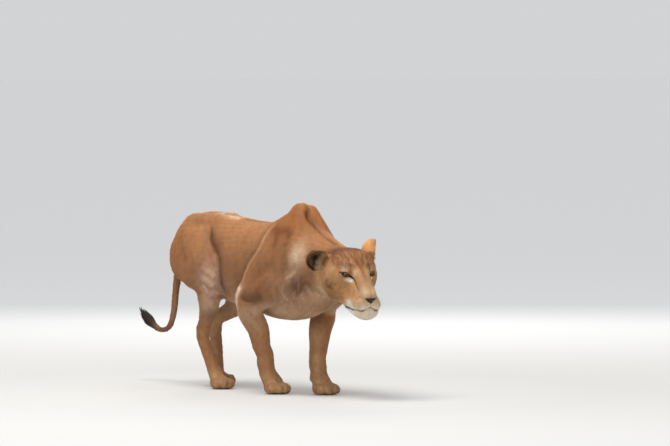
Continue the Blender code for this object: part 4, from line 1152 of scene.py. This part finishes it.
def coat(name, mesh, chosen, rng):
    """One piece of fur: kites of four triangles that lie along the chosen part of the skin."""
    corners = triangles(mesh)[chosen]
    points, outward = coordinates(mesh), normals(mesh)
    middles = points[corners].mean(axis=1)
    density = hair(looks(middles, unit(outward[corners].mean(axis=1))))[2]
    at, share = scattered(mesh, chosen, density, rng)
    root = (points[corners[at]] * share[:, :, None]).sum(axis=1)
    normal = unit((outward[corners[at]] * share[:, :, None]).sum(axis=1))
    uv = (unwrapped(mesh, chosen)[at] * share[:, :, None]).sum(axis=1)
    look = looks(root, normal)
    length, stand, _ = hair(look)
    way = lie(look)
    across = np.cross(normal, way)
    count = len(root)
    turn = 0.08 * rng.normal(size=count) + 0.11 * ripple(root, 0.03, 21) + 0.05 * ripple(root, 0.009, 22)
    turn *= 1 + 1.2 * np.clip((length - 0.016) / 0.01, 0, 1)
    cosine, sine = np.cos(turn)[:, None], np.sin(turn)[:, None]
    way, across = way * cosine + across * sine, across * cosine - way * sine
    length = length * rng.uniform(0.72, 1.25, count)
    stand = stand * (0.85 + 0.3 * rng.random(count) + 0.25 * ripple(root, 0.016, 23))
    wide = width_of(length) * rng.uniform(0.75, 1.2, count)
    length, stand, wide = length[:, None], stand[:, None], wide[:, None]
    base = root - normal * ROOT_DEPTH
    made = kite_mesh(name, np.stack([
        base + way * length * far + across * wide * aside + normal * (stand * up + wide * rise)
        for far, aside, up, rise, _, _ in KITE
    ], 1))
    write_colours(made, tuft_colours(look, rng))
    # Each tuft is a small patch of the unwrap, at its root.
    patch = PATCH * np.array([row[5] for row in KITE])
    layer = made.uv_layers.new(name="OFBake")
    layer.data.foreach_set("uv", (uv[:, None] + patch)[:, KITE_FACES].reshape(-1).astype(np.float32))
    # The tufts are shaded nearly as the skin is, and slightly round.
    own = np.stack([normal - 0.3 * way, normal + across, normal - across, normal, normal + 0.35 * way], 1)
    made.normals_split_custom_set_from_vertices(unit(own + normal[:, None] * 1.5).reshape(-1, 3))
    return object_of(name, made)


def store(mesh, name, kind, field, values):
    """Keeps a value at each vertex, for the materials."""
    layer = mesh.attributes.new(name, kind, "POINT")
    layer.data.foreach_set(field, np.asarray(values, np.float32).ravel())


def write_colours(mesh, values):
    store(mesh, "Hue", "FLOAT_COLOR", "color", np.concatenate([values, np.ones((len(values), 1))], 1))


# ---------------- materials


WET_ROUGHNESS = 0.26


def new_material(name, roughness, specular=0.3):
    """A material, its node tree and its shader."""
    made = bpy.data.materials.new(name)
    made.use_nodes = True
    shader = made.node_tree.nodes["Principled BSDF"]
    shader.inputs["Roughness"].default_value = roughness
    shader.inputs["Specular IOR Level"].default_value = specular
    return made, made.node_tree, shader


def node(tree, kind, links=(), **values):
    """A node with its values set, and links as (input, source node, output)."""
    made = tree.nodes.new(kind)
    for key, value in values.items():
        if key in made.bl_rna.properties:
            setattr(made, key, value)
        else:
            made.inputs[key.replace("_", " ")].default_value = value
    for into, source, output in links:
        tree.links.new(source.outputs[output], made.inputs[into])
    return made


def furry(name, roughness, grain, strength, depth):
    """The colour attribute, broken up by noise, with a fine bump."""
    made, tree, shader = new_material(name, roughness)
    hue = node(tree, "ShaderNodeAttribute", attribute_name="Hue")
    where = node(tree, "ShaderNodeTexCoord")
    noise = node(tree, "ShaderNodeTexNoise", [("Vector", where, "Object")], Scale=grain, Detail=3.0)
    ramp = node(tree, "ShaderNodeMapRange", [("Value", noise, "Fac")])
    ramp.inputs["To Min"].default_value = 1 - strength
    ramp.inputs["To Max"].default_value = 1 + strength
    both = [(0, hue, "Color"), (1, ramp, "Result")]
    mixed = node(tree, "ShaderNodeVectorMath", both, operation="MULTIPLY")
    tree.links.new(mixed.outputs["Vector"], shader.inputs["Base Color"])
    bump = node(tree, "ShaderNodeBump", [("Height", noise, "Fac")], Strength=0.5, Distance=depth)
    tree.links.new(bump.outputs["Normal"], shader.inputs["Normal"])
    return made


def moisten(material, mesh, wet):
    """Makes the finish glossier where wet is near 1."""
    store(mesh, "Wet", "FLOAT", "value", wet)
    tree = material.node_tree
    shader = tree.nodes["Principled BSDF"]
    share = node(tree, "ShaderNodeAttribute", attribute_name="Wet")
    rough = node(tree, "ShaderNodeMapRange", [("Value", share, "Fac")])
    rough.inputs["To Min"].default_value = shader.inputs["Roughness"].default_value
    rough.inputs["To Max"].default_value = WET_ROUGHNESS
    tree.links.new(rough.outputs["Result"], shader.inputs["Roughness"])


EYE_DEGREES = 60  # the ramp's whole length
EYE_STOPS = [  # place along the ramp, and colour
    (0.0, shade(5, 5, 5)), (0.21, shade(5, 5, 5)),  # pupil
    # The iris is painted darker than its own amber, as painted shade from the lids over it.
    (0.24, shade(40, 26, 14)), (0.32, shade(122, 82, 35)), (0.52, shade(100, 68, 32)),  # iris
    (0.61, shade(46, 30, 18)), (0.66, shade(14, 10, 9)), (1.0, shade(22, 17, 15)),  # dark rim and ball
]


def eye_material():
    """The eye's colours by the angle from its axis, which is stored on the ball in degrees."""
    made, tree, shader = new_material("eye", 0.05, 0.35)
    angle = node(tree, "ShaderNodeAttribute", attribute_name="Angle")
    turn = node(tree, "ShaderNodeAttribute", attribute_name="Turn")
    # Noise by the direction round the axis makes the rings' edges waver, in rays.
    rays = node(tree, "ShaderNodeTexNoise", [("Vector", turn, "Vector")], Scale=9.0, Detail=4.0)
    waver = node(tree, "ShaderNodeMath", [(0, rays, "Fac"), (2, angle, "Fac")], operation="MULTIPLY_ADD")
    waver.inputs[1].default_value = 2.5
    scaled = node(tree, "ShaderNodeMath", [(0, waver, "Value")], operation="MULTIPLY")
    scaled.inputs[1].default_value = 1 / EYE_DEGREES
    ramp = node(tree, "ShaderNodeValToRGB", [("Fac", scaled, "Value")])
    while len(ramp.color_ramp.elements) < len(EYE_STOPS):
        ramp.color_ramp.elements.new(0.5)
    for element, (at, hue) in zip(ramp.color_ramp.elements, EYE_STOPS):
        element.position = at
        element.color = (*hue, 1)
    tree.links.new(ramp.outputs["Color"], shader.inputs["Base Color"])
    return made


# ---------------- eyes and whiskers


BULGE, BULGE_DEGREES, BALL_GAP = 1.2, 36, 0.12  # how far and how widely the eye bulges, and its play


def eyeball(word, side, material):
    """A ball with a bulge over the iris, turned to the gaze. Its rings are closest round the iris."""
    rings = np.concatenate([np.linspace(0, 40, 41)[1:], np.linspace(40, 180, 30)[1:-1]])
    around = 64
    out = unit(np.array(GAZE) * [1, side, 1])
    flat = unit(np.cross([0, 0, 1.0], out))
    top = np.cross(out, flat)
    turn = np.arange(around) / around * 2 * math.pi
    verts, angles = [], []
    for ring in (0, *rings, 180):
        radius = EYE_RADIUS + BULGE * max(0, 1 - (ring / BULGE_DEGREES) ** 2) - BALL_GAP
        rad = math.radians(ring)
        spots = 1 if ring in (0, 180) else around
        for t in turn[:spots]:
            edge = flat * math.cos(t) + top * math.sin(t)
            verts.append(radius * (out * math.cos(rad) + edge * math.sin(rad)))
            angles.append(ring)
    faces = [(0, 1 + i, 1 + (i + 1) % around) for i in range(around)]
    for ring in range(len(rings) - 1):
        start = 1 + ring * around
        for i in range(around):
            j = (i + 1) % around
            faces.append((start + i, start + around + i, start + around + j, start + j))
    start, last = 1 + (len(rings) - 1) * around, len(verts) - 1
    faces += [(start + i, last, start + (i + 1) % around) for i in range(around)]
    mesh = bpy.data.meshes.new(f"eyeball_{word}")
    verts = np.array(verts)
    mesh.from_pydata(moved(HEAD, verts + [0, side * EYE_SPREAD, 0]).tolist(), [], faces)
    mesh.shade_smooth()
    store(mesh, "Angle", "FLOAT", "value", angles)
    store(mesh, "Turn", "FLOAT_VECTOR", "vector", unit(verts - np.outer(verts @ out, out)))
    mesh.materials.append(material)
    return object_of(f"eyeball_{word}", mesh)


WHISKER_ROWS = (5, 5, 4, 4)  # how many whiskers each row has, from the top
WHISKER_RUNS, WHISKER_SIDES = 9, 5
WHISKER_RADIUS, WHISKER_TIP, WHISKER_SUNK = 0.00024, 0.00005, 0.002


def tube(bm, centres, radii, way):
    """A closed tube through the centres, whose rings all stand square to way."""
    one = way.orthogonal().normalized()
    two = way.cross(one)
    turns = [2 * math.pi * k / WHISKER_SIDES for k in range(WHISKER_SIDES)]
    edge = [one * math.cos(a) + two * math.sin(a) for a in turns]
    rings = add_rings(bm, [[c + spot * radius for spot in edge] for c, radius in zip(centres, radii)])
    bm.faces.new(rings[0][::-1])
    bm.faces.new(rings[-1])


def whisker(bm, side, row, column, rng, ground):
    """One whisker on its pad. It droops, and is longer and points farther back near the mouth's corner."""
    across, up = side * (30 + 4.2 * column), -70 - 7.0 * row + 1.5 * column
    spot = moved(HEAD, np.array([[138 - 9.5 * column - 3 * row, across, up]]))[0]
    root, outward, _, _ = ground.find_nearest(Vector(spot))
    reach = (0.046 + 0.009 * column) * rng.uniform(0.85, 1.15)
    rise = -0.12 - 0.10 * row + 0.1 * rng.normal()
    way = Vector((-0.25 - 0.09 * column, side * 0.95, rise)).normalized()
    way = (Matrix(HEAD.tolist()).to_3x3() @ way).normalized()
    droop = Vector((-0.35, 0, -0.30)) * reach
    shares = [i / (WHISKER_RUNS - 1) for i in range(WHISKER_RUNS)]
    centres = [root - outward * WHISKER_SUNK + way * reach * t + droop * t * t for t in shares]
    radii = [WHISKER_RADIUS * (1 - t) ** 0.8 + WHISKER_TIP for t in shares]
    tube(bm, centres, radii, way)


def whiskers(material, rng, ground):
    """All whiskers, rooted on the skin that ground holds."""
    bm = bmesh.new()
    for side in SIDES.values():
        for row, number in enumerate(WHISKER_ROWS):
            for column in range(number):
                whisker(bm, side, row, column, rng, ground)
    bmesh.ops.recalc_face_normals(bm, faces=bm.faces)
    mesh = mesh_of("whiskers", bm)
    mesh.shade_smooth()
    mesh.materials.append(material)
    return object_of("whiskers", mesh)


# ---------------- the pieces

SKIN_SHADE = 0.88  # the skin between the tufts is darker than they are


def skin_piece():
    """The skin with its colours. The nose and the lids' rims are moist."""
    mesh = skin_mesh()
    look = looks(coordinates(mesh), normals(mesh))
    write_colours(mesh, colours(look) * SKIN_SHADE)
    finish = furry("skin", 0.72, 420, 0.30, 0.0006)
    moisten(finish, mesh, np.maximum(look["nose"], step(1.6, 0.6, look["lids"])))
    mesh.shade_smooth()
    mesh.materials.clear()
    mesh.materials.append(finish)
    return object_of("skin", mesh)


# Where the coat's pieces meet: millimetres ahead of the eyes, then metres above the ground.
FACE_BACK, HEAD_BACK = 5, -150
HEAD_LOW, LEG_TOP = 0.30, 0.33
TRUNK = (  # name, from, to along the body
    ("coat_neck", 0.36, math.inf),
    ("coat_shoulders", 0.08, 0.36),
    ("coat_flanks", -0.24, 0.08),
    ("coat_hips", -math.inf, -0.24),
)


def coat_zones(mesh):
    """Which of the skin's triangles each piece of the coat covers, by where their middles lie."""
    middles = coordinates(mesh)[triangles(mesh)].mean(axis=1)
    x, y, z = middles.T
    ahead = moved(UNHEAD, middles)[:, 0]
    face = (ahead > FACE_BACK) & (z > HEAD_LOW)
    head = (ahead <= FACE_BACK) & (ahead > HEAD_BACK) & (z > HEAD_LOW) & (x > 0.45)
    tail = (x < -0.545) & (z > 0.2) & ((np.abs(y) < 0.075) & (z < 0.66) | (x < -0.60)) & ~face & ~head
    zones = {"coat_face": face, "coat_head": head, "coat_tail": tail}
    rest = ~(face | head | tail)
    legs, trunk = rest & (z <= LEG_TOP), rest & (z > LEG_TOP)
    zones["coat_foreleg_right"] = legs & (x > 0) & (y < 0)
    zones["coat_foreleg_left"] = legs & (x > 0) & (y >= 0)
    zones["coat_legs_back"] = legs & (x <= 0)
    for name, back, front in TRUNK:
        zones[name] = trunk & (x > back) & (x <= front)
    return zones


def coat_pieces(mesh):
    """The coat, made one piece after another."""
    finish = furry("coat", 0.62, 260, 0.16, 0.0002)
    for seed, (name, zone) in enumerate(coat_zones(mesh).items(), 100):
        piece = coat(name, mesh, np.flatnonzero(zone), np.random.default_rng(seed))
        piece.data.materials.append(finish)
        yield piece


def whisker_piece(mesh):
    """The whiskers with their pale, slightly glossy finish."""
    finish, _, shader = new_material("whisker", 0.35, 0.5)
    shader.inputs["Base Color"].default_value = (0.66, 0.61, 0.54, 1)
    ground = BVHTree.FromPolygons(coordinates(mesh).tolist(), [list(p.vertices) for p in mesh.polygons])
    return whiskers(finish, np.random.default_rng(3), ground)


skin = skin_piece()
eye_finish = eye_material()
eyeballs = {word: eyeball(word, side, eye_finish) for word, side in SIDES.items()}
whisker_set = whisker_piece(skin.data)
coats = list(coat_pieces(skin.data))

# ---------------- stage, light and camera


FLOOR_REACH, FLOOR_NEAR, FLOOR_FAR = 150, (0.66, 0.655, 0.64, 1), (0.99, 0.99, 0.99, 1)
FLOOR_TURNS = (1.5, 6.0)  # between these distances it turns from the near colour to the far one
WORLD, WORLD_STRENGTH = (0.90, 0.91, 0.92, 1), 0.72
LAMPS = (  # name, place, size, power, tint
    ("key", (0.5, -1.4, 4.4), 2.6, 145, (1, 0.97, 0.93)),
    ("fill", (7.2, -4.7, 2.6), 5.0, 112, (0.93, 0.96, 1)),
    ("rim", (-4.4, 3.6, 4.0), 3.0, 96, (1, 0.98, 0.95)),
)


def stage():
    """A pale floor. It is paler far away, where no lamp reaches, so that it meets the world's colour."""
    bm = bmesh.new()
    bmesh.ops.create_grid(bm, x_segments=1, y_segments=1, size=FLOOR_REACH)
    mesh = mesh_of("floor", bm)
    finish, tree, shader = new_material("floor", 0.9, 0.1)
    where = node(tree, "ShaderNodeTexCoord")
    far = node(tree, "ShaderNodeVectorMath", [(0, where, "Object")], operation="LENGTH")
    near, distant = FLOOR_TURNS
    ramp = node(tree, "ShaderNodeMapRange", [("Value", far, "Value")], From_Min=near, From_Max=distant)
    hue = node(tree, "ShaderNodeMix", [("Factor", ramp, "Result")], data_type="RGBA")
    hue.inputs["A"].default_value = FLOOR_NEAR
    hue.inputs["B"].default_value = FLOOR_FAR
    tree.links.new(hue.outputs["Result"], shader.inputs["Base Color"])
    mesh.materials.append(finish)
    floor = object_of("floor", mesh)


def lamp(name, spot, size, power, tint):
    """A soft round lamp that faces the target."""
    data = bpy.data.lights.new(name, "AREA")
    data.shape = "DISK"
    data.size = size
    data.energy = power
    data.color = tint
    obj = bpy.data.objects.new(name, data)
    obj.location = spot
    obj.rotation_euler = (TARGET - Vector(spot)).to_track_quat("-Z", "Y").to_euler()
    bpy.context.scene.collection.objects.link(obj)


def sky():
    """The studio's even light from all round."""
    world = bpy.data.worlds.new("studio")
    world.use_nodes = True
    background = world.node_tree.nodes["Background"]
    background.inputs["Color"].default_value = WORLD
    background.inputs["Strength"].default_value = WORLD_STRENGTH
    bpy.context.scene.world = world


stage()
for row in LAMPS:
    lamp(*row)
sky()
bpy.context.scene.view_settings.view_transform = "Standard"

camera = bpy.data.objects.new("camera", bpy.data.cameras.new("camera"))
camera.data.lens = 300
camera.data.sensor_width = 36
camera.data.clip_end = 400
level = math.cos(PITCH)
view_way = Vector((-math.sin(AZIMUTH) * level, math.cos(AZIMUTH) * level, -math.sin(PITCH)))
camera.location = TARGET - view_way * DISTANCE
camera.rotation_euler = view_way.to_track_quat("-Z", "Y").to_euler()
bpy.context.scene.collection.objects.link(camera)
bpy.context.scene.camera = camera

# ---------------- what each piece stands for

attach(skin, "root")
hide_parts(*FLESH)
for word, piece in eyeballs.items():
    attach(piece, "root")
    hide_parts(f"eye_{word}")
for piece in (*coats, whisker_set):
    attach(piece, "root")
